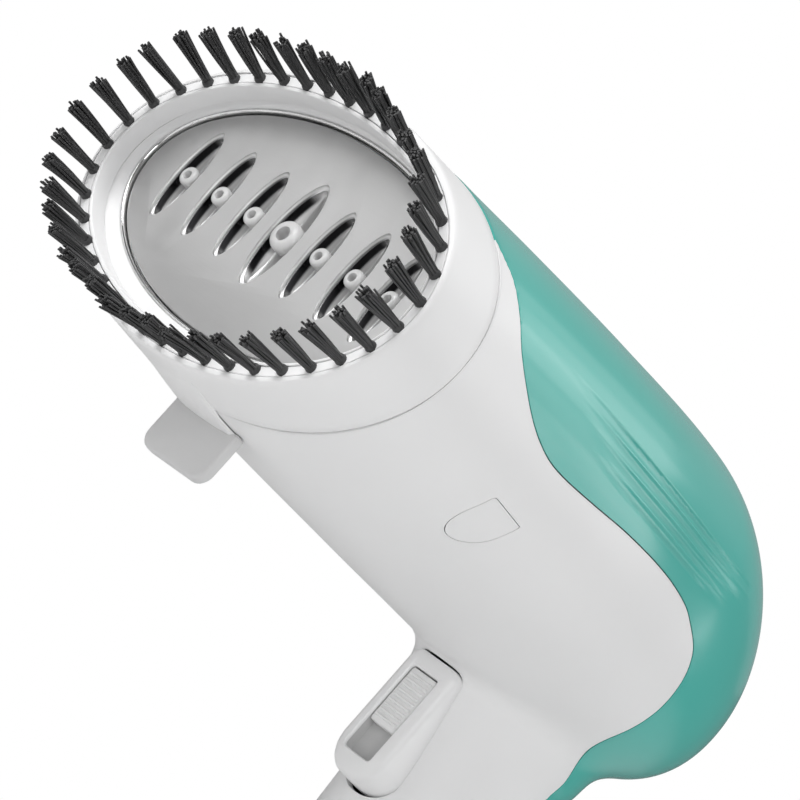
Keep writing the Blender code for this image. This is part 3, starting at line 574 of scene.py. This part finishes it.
def shell_piece(name, v, t, lip, mats, wall=WALL):
    """Gives a cut skin its thickness; lip(points) is the distance to its nearest edge, which gets a small round."""
    n = gradient(v)
    n /= np.linalg.norm(n, axis=1)[:, None]
    edge = np.clip(1 - lip(v) / 0.7, 0, 1)
    outer = v - n * (0.30 * edge**2)[:, None]
    flat = gradient(v, plain=True)
    inner = v - flat / np.linalg.norm(flat, axis=1)[:, None] * wall
    e = np.sort(np.concatenate([t[:, [0, 1]], t[:, [1, 2]], t[:, [2, 0]]]), axis=1)
    d = np.concatenate([t[:, [0, 1]], t[:, [1, 2]], t[:, [2, 0]]])
    _, first, counts = np.unique(e, axis=0, return_index=True, return_counts=True)
    rim = d[first[counts == 1]]
    k = len(v)
    faces = [tuple(f) for f in t.tolist()] + [(c + k, b + k, a + k) for a, b, c in t.tolist()]
    faces += [(b, a, a + k, b + k) for a, b in rim.tolist()]
    me = bpy.data.meshes.new(name)
    pts = (np.concatenate([outer, inner]) + HOME) * 0.001
    me.from_pydata(pts.tolist(), [], faces)
    for m in mats:
        me.materials.append(m)
    slots = np.zeros(len(faces), np.int32)
    slots[len(t):2 * len(t)] = 1
    me.polygons.foreach_set("material_index", slots)
    me.shade_smooth()
    loops = np.concatenate([n[t].reshape(-1, 3), -n[t[:, ::-1]].reshape(-1, 3)])
    me.update()
    face_n = np.empty(len(faces) * 3)
    me.polygons.foreach_get("normal", face_n)
    face_n = face_n.reshape(-1, 3)[2 * len(t):]
    loops = np.concatenate([loops, np.repeat(face_n, 4, axis=0)])
    me.normals_split_custom_set(loops.tolist())
    return put_in_scene(name, me)


def flap_outline(grow):
    """D shape of the filler flap: straight edge on top, half round below."""
    mid, top, half, length = FLAP
    r, low = half + grow, top - length - grow
    pts = [(mid - r, top + grow)]
    pts += [(mid - r * math.cos(a), low + r - r * math.sin(a)) for a in np.linspace(0, math.pi, 25)]
    return pts + [(mid + r, top + grow)]


def pod_outline(grow, low_grow):
    """Outline of the trigger pod seen from the front, with room round it."""
    hx, top, low, r, q = POD[0] + grow, POD[1] + grow, POD[2] - low_grow, 7.4, POD_CORNER
    pts = arc(hx - q, top - q, q, 0, 90) + arc(-hx + q, top - q, q, 90, 180)
    return pts + arc(-hx + r, low + r, r, 180, 270, 12) + arc(hx - r, low + r, r, 270, 360, 12)


def build_shells(mats):
    """Cuts the skin along its seams into rear shell, front shell and filler flap."""
    region = rounded_line(SPLIT).tolist() + [(260, -200), (260, 60)]

    def teal(p):
        return outline_distance(region, p[:, [1, 2]])

    def flap(p):
        return outline_distance(flap_outline(FLAP_GAP), p[:, [1, 2]])

    def pod(p):
        return np.where(np.abs(p[:, 1] - 135) < 17, outline_distance(pod_outline(0.10, 0.95), p[:, [0, 2]]), FAR)

    def on_right(p, s, elsewhere):
        return np.where(p[:, 0] > 20, s, elsewhere)

    def edges(p):
        ends = np.minimum(p[:, 1] - RING_D - 0.3, p[:, 2] - HANDLE_END)
        return np.minimum(np.abs(teal(p)) - SEAM, ends)

    def front_edges(p):
        openings = np.minimum(on_right(p, np.abs(flap(p)), FAR), np.abs(pod(p)))
        return np.minimum(edges(p), openings)

    def trimmed(v, t, side):
        v, t = cut(v, t, SEAM + side * teal(v))
        v, t = cut(v, t, RING_D + 0.3 - v[:, 1])
        return cut(v, t, HANDLE_END - v[:, 2])

    v, t = raw_skin()
    rear_v, rear_t = trimmed(v, t, 1)
    front_v, front_t = trimmed(v, t, -1)
    hatch_v, hatch_t = cut(front_v, front_t, on_right(front_v, flap(front_v) + FLAP_GAP, FAR))
    front_v, front_t = cut(front_v, front_t, on_right(front_v, -flap(front_v), -FAR))
    front_v, front_t = cut(front_v, front_t, -pod(front_v))
    finish_piece(shell_piece("rear_shell_skin", rear_v, rear_t, edges, [mats["teal"], mats["inner"]]),
                 "housing", "teal_plastic", "rear_shell")
    finish_piece(shell_piece("front_shell_skin", front_v, front_t, front_edges, [mats["white"], mats["inner"]]),
                 "housing", "white_plastic", "main_shell")
    build_flap(hatch_v, hatch_t, flap, mats)


def build_flap(v, t, flap, mats):
    """Lid cut from the skin, with a grooved rubber plug behind it."""
    lid = shell_piece("filler_flap_lid", v, t, lambda p: -flap(p) - FLAP_GAP, [mats["white"], mats["white"]], 1.6)
    finish_piece(lid, "flap", "flap_plastic", "filler_flap")
    prof = [(0.02, -6.2), (2.6, -6.2), (3.1, -5.7), (3.1, -4.6), (2.7, -4.2), (3.1, -3.8), (3.1, -2.4),
            (0.02, -2.4)]
    centre = np.array([45.4, FLAP[0], FLAP[1] - 5.2])
    plug = mesh_object("filler_plug", *turned(prof, centre, "X"), [mats["rubber"]])
    finish_piece(plug, "flap", "flap_plastic")


# ---------------------------------------------------------------- brush ring
def build_brush_ring(mats):
    """Skirt, band with its groove, and pull tab."""
    def at(y, inset):
        yy = max(y, 0.0)
        rx, top, low = float(B_HALF(yy)) - inset, float(B_TOP(yy)) - inset, float(B_LOW(yy)) + inset
        return rx, (top - low) / 2, y, (top + low) / 2

    path = [at(RING_D, 1.9), at(RING_D, 0.25), at(RING_D - 0.08, 0.1), at(RING_D - 0.3, 0.0)]
    path += [at(y, 0.0) for y in (15, 11, 7, 4, 2.2)]
    path += [at(1.2, 0.06), at(0.6, 0.22), at(0.2, 0.5), at(0.02, 0.9)]
    path += [(53.5, 33.4, 0.0), (53.42, 33.3, 0.08), (53.4, 33.3, 3.5), (50.8, 30.5, 3.5),
             (50.8, 30.5, 0.08), (50.74, 30.42, 0.0)]
    path += [(50.55, 30.0, 0.0), (50.25, 29.7, 0.15), (50.1, 29.5, 0.6), (50.0, 29.3, 4.8), (53.1, 33.6, 4.9)]
    path += [(53.1, 33.9, RING_D - 0.01, 0.4)]
    ring = mesh_object("brush_ring_skirt", *oval_sweep(path), [mats["ring"]], smooth=30)
    finish_piece(ring, "brush", "ring_plastic", "brush_ring")
    hw, top, low, r = 11.0, -34.6, -47.8, 3.6
    shape = [(-hw, top), (hw, top)] + arc(hw - r, low + r, r, 0, -90, 8) + arc(-hw + r, low + r, r, -90, -180, 8)
    rings = [[(x, y, z) for x, z in shape] for y in (26.2, 29.2)]
    tab = mesh_object("pull_tab", *loft(rings), [mats["tab"]], smooth=None)
    soften(tab, 0.7, 4)
    finish_piece(tab, "brush", "ring_plastic")
    rings = []
    for y, drop in ((8.0, -0.12), (12.0, 0.12), (16.0, 0.42), (20.0, 0.72),
                    (24.0, 0.95), (29.4, 1.05), (30.1, 0.95), (30.4, 0.6)):
        x = np.linspace(-9.7, 9.7, 25)
        hx, hz, _, mid = at(min(y, RING_D), 0.0)
        skin = mid - hz * (1 - np.abs(x / hx)**BARREL_POWER)**(1 / BARREL_POWER)
        inner = skin + (0.6 if y < RING_D else -0.22)
        edge = np.clip((9.7 - np.abs(x)) / 0.8, 0, 1)
        outer = np.minimum(skin - drop * np.sqrt(1 - (1 - edge)**2), inner - 0.05)
        rings.append(np.concatenate([np.c_[x, np.full(25, y), outer], np.c_[x, np.full(25, y), inner][::-1]]))
    base = mesh_object("pull_tab_foot", *loft(rings), [mats["ring"]], smooth=40)
    finish_piece(base, "brush", "ring_plastic")


def tuft_spots():
    """Evenly spaced roots round the head, each with its outward direction."""
    rx, rz = TUFT_LINE
    a = np.linspace(0, 2 * np.pi, 4001)
    x, z = rx * np.cos(a), rz * np.sin(a)
    run = np.r_[0, np.cumsum(np.hypot(np.diff(x), np.diff(z)))]
    at = np.interp((np.arange(TUFTS) + 0.5) / TUFTS * run[-1], run, a)
    n = np.c_[np.cos(at) / rx, np.sin(at) / rz]
    n /= np.linalg.norm(n, axis=1)[:, None]
    return np.c_[rx * np.cos(at), rz * np.sin(at), n]


def strand(root, tip, bow, r0, r1, sides=5, steps=4):
    """One thin nylon filament from root to tip with a slight bow and a blunt end."""
    rings = []
    d = tip - root
    u = np.cross(d, [0.3, 0.1, 1.0])
    u /= np.linalg.norm(u)
    w = np.cross(d, u) / np.linalg.norm(d)
    for k in range(steps + 1):
        s = k / steps
        c = root + d * s + bow * math.sin(math.pi * s)
        r = r0 + (r1 - r0) * s
        rings.append([c + r * (math.cos(2 * math.pi * j / sides) * u + math.sin(2 * math.pi * j / sides) * w)
                      for j in range(sides)])
    return loft(rings)


def build_bristles(mats):
    """Forty splayed bundles of filaments on their strip."""
    rng = np.random.default_rng(7)
    parts = []
    for x, z, nx, nz in tuft_spots():
        lean = 0.5 + 1.25 * abs(nz)
        tang = np.array([-nz, 0.0, nx])
        outw = np.array([nx, 0.0, nz])
        sway = rng.normal(0, 0.35, 2)
        for k in range(FILAMENTS):
            rad, ang = math.sqrt((k + 0.5) / FILAMENTS), GOLDEN_ANGLE * k
            ca, sa = rad * math.cos(ang), rad * math.sin(ang)
            root = np.array([x, 0.9, z]) + tang * ca * 0.85 + outw * sa * 0.85
            reach = TUFT_L - 0.2 - 1.1 * rng.random()**2
            tip = np.array([x, -reach, z]) + tang * (ca * 1.75 + sway[0]) + outw * (sa * 1.6 + lean + sway[1])
            tip += rng.normal(0, 0.16, 3)
            bow = tang * rng.normal(0, 0.12) + outw * rng.normal(-0.1, 0.12)
            parts.append(strand(root, tip, bow, 0.24, 0.27))
        parts.append(turned([(0.02, 0.9), (1.30, 0.9), (1.34, 0.2), (1.24, -0.5), (1.02, -1.0), (0.02, -1.2)],
                            np.array([x, 0.0, z]), "Y", 14))
    tufts = mesh_object("bristle_strands", *merged(parts), [mats["strand"]], smooth=50)
    finish_piece(tufts, "brush", "bristle_nylon", "bristle_tufts")
    path = [(53.2, 33.1, 0.3), (53.05, 32.95, 0.12), (*TUFT_LINE, 0.06), (51.1, 30.85, 0.12), (51.0, 30.75, 0.3),
            (51.0, 30.75, 3.3), (53.2, 33.1, 3.3)]
    strip = mesh_object("bristle_strip", *oval_sweep(path), [mats["ring"]], smooth=40)
    finish_piece(strip, "brush", "ring_plastic")


# ---------------------------------------------------------------- steam head
def build_nose(mats):
    """Funnel that holds the plate, and the bright ring round the plate."""
    px, pz, _, up = PLATE
    path = [(52.3, 32.8, 5.2), (50.9, 30.7, 5.15), (50.3, 30.0, 5.2), (49.9, 28.9, 6.3, 0.5 * up),
            (49.62, 27.75, 7.15, up), (49.55, 27.55, 7.3, up), (49.5, 27.45, 7.6, up), (49.5, 27.45, 9.3, up),
            (px + 0.3, pz + 0.3, 9.35, up), (px + 0.3, pz + 0.3, 17.5, up), (45.8, 23.7, 17.5, up),
            (45.8, 23.7, 27, up), (51.9, 32.5, 27, 0.6), (51.9, 32.5, 17.6, 0.5), (52.3, 32.9, 7.0)]
    funnel = mesh_object("nose_funnel", *oval_sweep(path), [mats["nose"]], smooth=38)
    finish_piece(funnel, "housing", "nose_plastic", "head_housing")
    path = [(px + 1.15, pz + 1.15, 9.1, up), (px + 1.15, pz + 1.15, 7.55, up), (px + 0.95, pz + 0.95, 7.38, up),
            (px + 0.6, pz + 0.6, 7.45, up), (px + 0.42, pz + 0.42, 7.8, up), (px + 0.4, pz + 0.4, 9.1, up)]
    trim = mesh_object("plate_trim", *oval_sweep(path), [mats["trim"]], smooth=60)
    finish_piece(trim, "housing", "bright_trim", "plate_trim_ring")


def lens(x, half, wide, y, n=28):
    """Pointed lens outline with slightly rounded tips."""
    a = np.linspace(-0.5, 0.5, n + 1) * np.pi
    right = np.c_[x + np.maximum(wide, 0.05) * np.cos(a)**1.1, np.full(n + 1, y), SLOT_UP + half * np.sin(a)]
    left = right[1:-1].copy()
    left[:, 0] = 2 * x - left[:, 0]
    return np.concatenate([right, left[::-1]])


def build_plate(mats):
    """Brushed plate with seven round-lipped pockets; pocket faces take the second material."""
    px, pz, py, up = PLATE
    rings = [np.insert(oval(px - g, pz - g, 200, up, HEAD_POWER), 1, py + d, axis=1)
             for g, d in ((0.45, 0.0), (0.15, 0.12), (0, 0.45), (0, 9))]
    plate = mesh_object("steam_plate_face", *loft(rings), [mats["plate"], mats["pocket"]], smooth=None)
    lip, lip_depth = 0.85, 0.8
    cutters = []
    for k in range(7):
        mid = k == 3
        half, wide = (13.9, 4.6) if mid else (11.9, 3.45)
        x = (k - 3) * SLOT_PITCH
        rows = [lens(x, half + 0.05, wide + 0.05, py - 0.6), lens(x, half, wide, py)]
        for a in np.linspace(0, math.pi / 2, 6)[1:]:
            g = lip * (1 - math.cos(a))
            rows.append(lens(x, half - g * 1.1, wide - g, py + lip_depth * math.sin(a)))
        for a in np.linspace(0, 0.47 * math.pi, 12)[1:]:
            close = math.sin(a)**1.5
            y = py + lip_depth + (SLOT_DEEP - lip_depth) * math.sin(a)
            rows.append(lens(x - 0.52 * (wide - lip) * close, (half - 0.94) * (0.3 + 0.7 * math.cos(a)),
                             (wide - lip) * (1 - 0.92 * close), y))
        cutters.append(loft(rows))
    tool = mesh_object("pockets", *merged(cutters), [mats["pocket"]], smooth=None)
    carve(plate, tool)
    me = plate.data
    slots = []
    for p in me.polygons:
        c = p.center * 1000
        y = c.y - HOME[1]
        ex, ez = c.x / (px - 0.6), (c.z - HOME[2] - up) / (pz - 0.6)
        slots.append(1 if y > py + 0.02 and ex * ex + ez * ez < 1 and y < py + 8.5 else 0)
    me.polygons.foreach_set("material_index", slots)
    me.shade_smooth()
    me.set_sharp_from_angle(angle=math.radians(40))
    finish_piece(plate, "housing", "brushed_plate", "steam_plate")


def build_nozzles(mats):
    """Domed rubber nozzles, one in each pocket."""
    for k in range(7):
        mid = k == 3
        r, bore, top = (3.65, 1.8, -0.5) if mid else (2.25, 0.95, 0.1)
        prof = [(bore, 4.6), (bore, top + 0.8), (bore * 1.05, top + 0.35)]
        prof += arc(r * 0.62, top + r * 0.42, r * 0.42, 250, 350, 7)
        prof += [(r, top + r * 0.6), (r * 0.99, 2.6), (r * 0.93, 4.6)]
        centre = np.array([(k - 3) * SLOT_PITCH, PLATE[2], SLOT_UP])
        ob = mesh_object("nozzle_dome_%d" % (k + 1), *turned(prof, centre), [mats["nozzle"]], smooth=50)
        finish_piece(ob, "housing", "nozzle_silicone", "nozzle_%d" % (k + 1))


# ---------------------------------------------------------------- trigger
def pod_ring(y):
    """Section of the pod at a depth: rounded towards its face, cut back at the top so that it can swing."""
    face = min(1.0, max(0.0, (y - POD_FACE) / 2.3))
    round_in = 1 - math.sqrt(max(0.0, 1 - (1 - face)**2))
    hx = POD[0] - 2.2 * round_in
    top = POD[1] - 0.3 * round_in - 0.17 * max(0.0, y - 134)
    low = POD[2] + 4.2 * round_in + 0.5 * (1 - face)
    r, q = min(hx, 7.2), POD_CORNER
    pts = arc(hx - q, top - q, q, 0, 90, 7) + arc(-hx + q, top - q, q, 90, 180, 7)
    pts += arc(-hx + r, low + r, r, 180, 270, 16) + arc(hx - r, low + r, r, 270, 360, 16)
    return [(x, y, z) for x, z in pts]


def slot_ring(y, hx, top, low, r=1.1):
    """Rounded rectangle at a depth."""
    pts = arc(hx - r, top - r, r, 0, 90) + arc(-hx + r, top - r, r, 90, 180) + arc(-hx + r, low + r, r, 180, 270)
    return [(x, y, z) for x, z in pts + arc(hx - r, low + r, r, 270, 360)]


def build_trigger(mats):
    """White pod with the slider's slot, hollow at the back, and the finger that meets the switch."""
    ys = [POD_FACE, 129.25, 129.4, 129.65, 130.0, 130.5, 131.0, 131.5, 134.0, 138.0, 141.0]
    pod = mesh_object("trigger_pod", *loft([pod_ring(y) for y in ys]), [mats["white"]], smooth=None)
    steps = [(126.0, 0.45), (129.15, 0.45), (129.35, 0.22), (129.6, 0.06), (130.0, 0.0), (132.6, 0.0),
             (132.8, -0.3)]
    hx, top, low = LOCK_SLOT
    front = [slot_ring(y, hx + g, top + g, low - g) for y, g in steps]
    back = [slot_ring(y, 6.2, -55.0, -64.0) for y in (135.4, 150.0)]
    for rings in (front, back):
        carve(pod, mesh_object("tool", *loft(rings), [mats["white"]], smooth=None))
    # painted shade: the deeper walls and floor of the slider's slot take a darker grey than the white pod
    pod.data.materials.append(mats["recess"])
    for p in pod.data.polygons:
        x, y, z = (c * 1000 - h for c, h in zip(p.center, HOME))
        if 130.4 < y < 133.0 and abs(x) < hx + 0.02 and low - 0.1 < z < top + 0.1:
            p.material_index = 1
    pod.data.shade_smooth()
    pod.data.set_sharp_from_angle(angle=math.radians(32))
    finish_piece(pod, "trigger", "trigger_plastic", "steam_trigger")
    rings = [[(x, y, z) for x, z in ((-2, -52.5), (2, -52.5), (2, -48.5), (-2, -48.5))] for y in (139.0, 146.5)]
    finger = mesh_object("trigger_finger", *loft(rings), [mats["white"]], smooth=None)
    finish_piece(soften(finger, 0.4), "trigger", "trigger_plastic")


def build_lock(mats):
    """Slider with a dished face and nine rounded ribs."""
    top, low, foot = -37.2, -52.6, 129.90
    steps = [(132.5, 0.0), (130.25, 0.0), (130.0, 0.08), (129.85, 0.3)]
    parts = [loft([slot_ring(y, 4.4 - g, top - g, low + g, 0.8) for y, g in steps])]
    for k in range(9):
        z = top - 1.65 - k * 1.5
        prof = [(z + 0.40, foot)]
        prof += [(z + 0.34 * math.cos(a), foot - 0.25 - 0.36 * math.sin(a)) for a in np.linspace(0, math.pi, 9)]
        prof += [(z - 0.40, foot)]
        parts.append(loft([[(x, foot + (y - foot) * rise, zz) for zz, y in prof]
                           for x, rise in ((-3.75, 0.25), (-3.5, 1.0), (3.5, 1.0), (3.75, 0.25))]))
    ob = mesh_object("lock_slider", *merged(parts), [mats["slider"]], smooth=40)
    finish_piece(ob, "lock", "slider_plastic", "trigger_lock")


def build_spring(mats):
    """Return spring behind the trigger, drawn at full length; on the iron it shortens as the trigger goes in."""
    front, rear, coil, wire, turns, per = 136.1, 157.3, 3.4, 0.45, 4, 36
    rings = []
    for k in range(turns * per + 1):
        a = 2 * math.pi * k / per
        out = np.array([math.cos(a), 0.0, math.sin(a)])
        mid = np.array([0.0, front + (rear - front) * k / (turns * per), -59.5]) + coil * out
        rings.append([mid + wire * (math.cos(b) * out + math.sin(b) * np.array([0.0, 1.0, 0.0]))
                      for b in np.linspace(0, 2 * math.pi, 12, endpoint=False)])
    ob = mesh_object("trigger_spring_coil", *loft(rings), [mats["spring"]], smooth=50)
    finish_piece(ob, "housing", "spring_steel", "trigger_spring")
    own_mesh(ob)


# ---------------------------------------------------------------- handle end
def build_end_cap(mats):
    """Flat cap that closes the handle, hollow inside, with the cord bush in its middle."""
    def ring(z, inset):
        f, b, h = float(H_FRONT(z)), float(H_BACK(z)), float(H_HALF(z))
        o = oval(h - inset, (b - f) / 2 - inset, 120)
        return np.c_[o[:, 0], o[:, 1] + (f + b) / 2, np.full(120, z)]

    def hole(z, r):
        a = np.linspace(0, 2 * np.pi, 120, endpoint=False)
        return np.c_[r * np.cos(a), CORD_Y + r * np.sin(a), np.full(120, z)]

    e = HANDLE_END
    outside = ((5, 2.8), (-0.2, 2.8), (-0.3, 0.35), (-0.45, 0.1), (-0.8, 0.0), (-4.5, 0.0), (-5.8, 0.25),
               (-6.8, 0.8), (-7.5, 1.6), (-7.9, 2.6))
    rings = [ring(e + z, inset) for z, inset in outside]
    rings += [hole(e - 8.0, 6.0), hole(e - 7.8, 5.5), hole(e - 3.5, 5.3), ring(e - 3.5, 4.8), ring(e + 5, 4.8)]
    faces = ring_faces(len(rings), 120, loop=True)
    cap = mesh_object("handle_cap", np.concatenate(rings), faces, [mats["white"]], smooth=38)
    finish_piece(cap, "housing", "cap_plastic", "handle_end_cap")
    prof = [(3.2, 0.6), (3.5, 0.4), (4.7, 0.4), (5.0, 0.7), (5.0, 4.2), (6.8, 4.3), (6.8, 6.0), (4.2, 9.0),
            (3.2, 9.0)]
    gland = mesh_object("cord_bush", *turned(prof, np.array([0, CORD_Y, e - 8.0]), "Z", 60), [mats["rubber"]])
    finish_piece(gland, "housing", "gland_rubber", "cord_gland")


def dress_inner_nodes(mats):
    """Better materials on the inner pieces that keep their CAD shape."""
    wear = {"steam_gasket": "rubber", "boiler": "cast", "heating_element": "heater", "thermostat": "switch",
            "thermal_fuse": "ceramic", "water_tank": "tank", "bulkhead": "frame", "pump": "pump", "feed_tube": "tube",
            "suction_tube": "tube", "trigger_pin": "screw", "microswitch": "switch", "circuit_board": "board",
            "board_capacitor": "pump", "board_relay": "frame"}
    wear.update({"boiler_screw_%d" % k: "screw" for k in range(1, 5)})
    for node, key in wear.items():
        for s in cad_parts[node].material_slots:
            s.material = mats[key]


# ---------------------------------------------------------------- stage, lights, camera
def build_stage():
    """Pale floor that fades into a white surround and hides nothing from below, with weak even light."""
    me = bpy.data.meshes.new("floor")
    bm = bmesh.new()
    bmesh.ops.create_grid(bm, x_segments=8, y_segments=8, size=3.0)
    bm.to_mesh(me)
    bm.free()
    f = Finish("floor_paint")
    reach = f.node("ShaderNodeVectorMath", {"operation": "LENGTH"}, {0: f.place}, out="Value")
    fade = f.node("ShaderNodeMapRange", {"interpolation_type": "SMOOTHSTEP"},
                  {"Value": reach, "From Min": 0.35, "From Max": 1.0, "To Min": 1.0, "To Max": 0.0})
    below = f.node("ShaderNodeNewGeometry", out="Backfacing")
    me.materials.append(f.set(Base_Color=f.tint(f.noise(60.0, 2.0), (0.80, 0.80, 0.80), (0.83, 0.83, 0.83)),
                              Roughness=0.9, Alpha=fade * (1.0 - below)))
    put_in_scene("floor", me)
    world = bpy.data.worlds.new("studio")
    bpy.context.scene.world = world
    world.use_nodes = True
    t = world.node_tree
    back = t.nodes["Background"]
    path = t.nodes.new("ShaderNodeLightPath")
    seen = t.nodes.new("ShaderNodeBackground")
    mix = t.nodes.new("ShaderNodeMixShader")
    for node, strength in ((back, 0.18), (seen, 1.0)):
        node.inputs["Color"].default_value = (1, 1, 1, 1)
        node.inputs["Strength"].default_value = strength
    t.links.new(path.outputs["Is Camera Ray"], mix.inputs[0])
    t.links.new(back.outputs[0], mix.inputs[1])
    t.links.new(seen.outputs[0], mix.inputs[2])
    t.links.new(mix.outputs[0], t.nodes["World Output"].inputs[0])


def area_light(name, at, towards, size, power):
    """Square soft light turned towards a point."""
    lamp = bpy.data.lights.new(name, "AREA")
    lamp.energy, lamp.size = power, size
    ob = bpy.data.objects.new(name, lamp)
    bpy.context.scene.collection.objects.link(ob)
    ob.location = at
    ob.rotation_euler = (Vector(towards) - Vector(at)).to_track_quat("-Z", "Y").to_euler()


# the camera's own axes; it is held turned about its line of sight
RIGHT = Vector((0.5987, 0.4580, 0.6571))
UP = Vector((-0.3896, -0.5503, 0.7385))
VIEW = Vector((0.6998, -0.6982, -0.1510))


def build_camera():
    """Camera in front and to the right, a little lower than the head."""
    rim = Vector((HOME * 0.001).tolist())
    aim = rim + RIGHT * 0.0292 - UP * 0.03702
    cam = bpy.data.cameras.new("camera")
    cam.sensor_width = 36.0
    cam.lens = cam.sensor_width * CAMERA_M / FRAME_M
    cam.clip_start, cam.clip_end = 0.05, 30.0
    ob = bpy.data.objects.new("camera", cam)
    bpy.context.scene.collection.objects.link(ob)
    ob.matrix_world = Matrix.Translation(aim + VIEW * CAMERA_M) @ Matrix((RIGHT, UP, VIEW)).transposed().to_4x4()
    bpy.context.scene.camera = ob
    bpy.context.scene.view_settings.view_transform = "Standard"
    bpy.context.scene.view_settings.look = "None"


SOFTBOXES = [  # direction from the object, edge length in m, watts
    ((0.62, 0.77, 0.14), 0.42, 0.64), ((-0.62, -0.77, 0.14), 0.42, 0.60), ((-0.22, -0.97, 0.14), 0.42, 0.51),
    ((0.89, -0.43, 0.14), 0.42, 2.60), ((-0.22, -0.84, 0.50), 0.42, 4.13), ((0.00, -0.57, 0.82), 0.42, 4.34),
    ((0.61, 0.61, 0.50), 0.42, 0.50), ((0.00, 0.57, 0.82), 0.42, 0.31), ((0.00, 0.00, 1.00), 0.42, 0.75),
    ((0.75, 0.63, 0.21), 0.20, 0.30), ((0.56, 0.80, 0.21), 0.20, 0.22), ((0.70, 0.59, 0.41), 0.20, 0.32),
    ((0.52, 0.75, 0.41), 0.20, 0.30), ((0.46, 0.66, 0.59), 0.20, 0.15), ((0.28, 0.76, 0.59), 0.20, 0.18),
    ((-0.35, 0.72, 0.60), 0.90, 0.42), ((0.38, 0.55, 0.74), 0.20, 0.21), ((0.23, 0.63, 0.74), 0.20, 0.27),
    ((0.06, 0.67, 0.74), 0.20, 0.11)]


def build_lights():
    """Soft boxes on a dome one metre round the body, brightest in front and above, with a broken rim behind."""
    middle = Vector((0.0, -0.02, 0.13))
    for k, (towards, size, watts) in enumerate(SOFTBOXES):
        area_light("softbox_%02d" % (k + 1), middle + Vector(towards), middle, size, watts)


def main():
    mats = make_finishes()
    build_shells(mats)
    build_brush_ring(mats)
    build_bristles(mats)
    build_nose(mats)
    build_plate(mats)
    build_nozzles(mats)
    build_trigger(mats)
    build_lock(mats)
    build_spring(mats)
    build_end_cap(mats)
    dress_inner_nodes(mats)
    build_stage()
    build_camera()
    build_lights()


main()
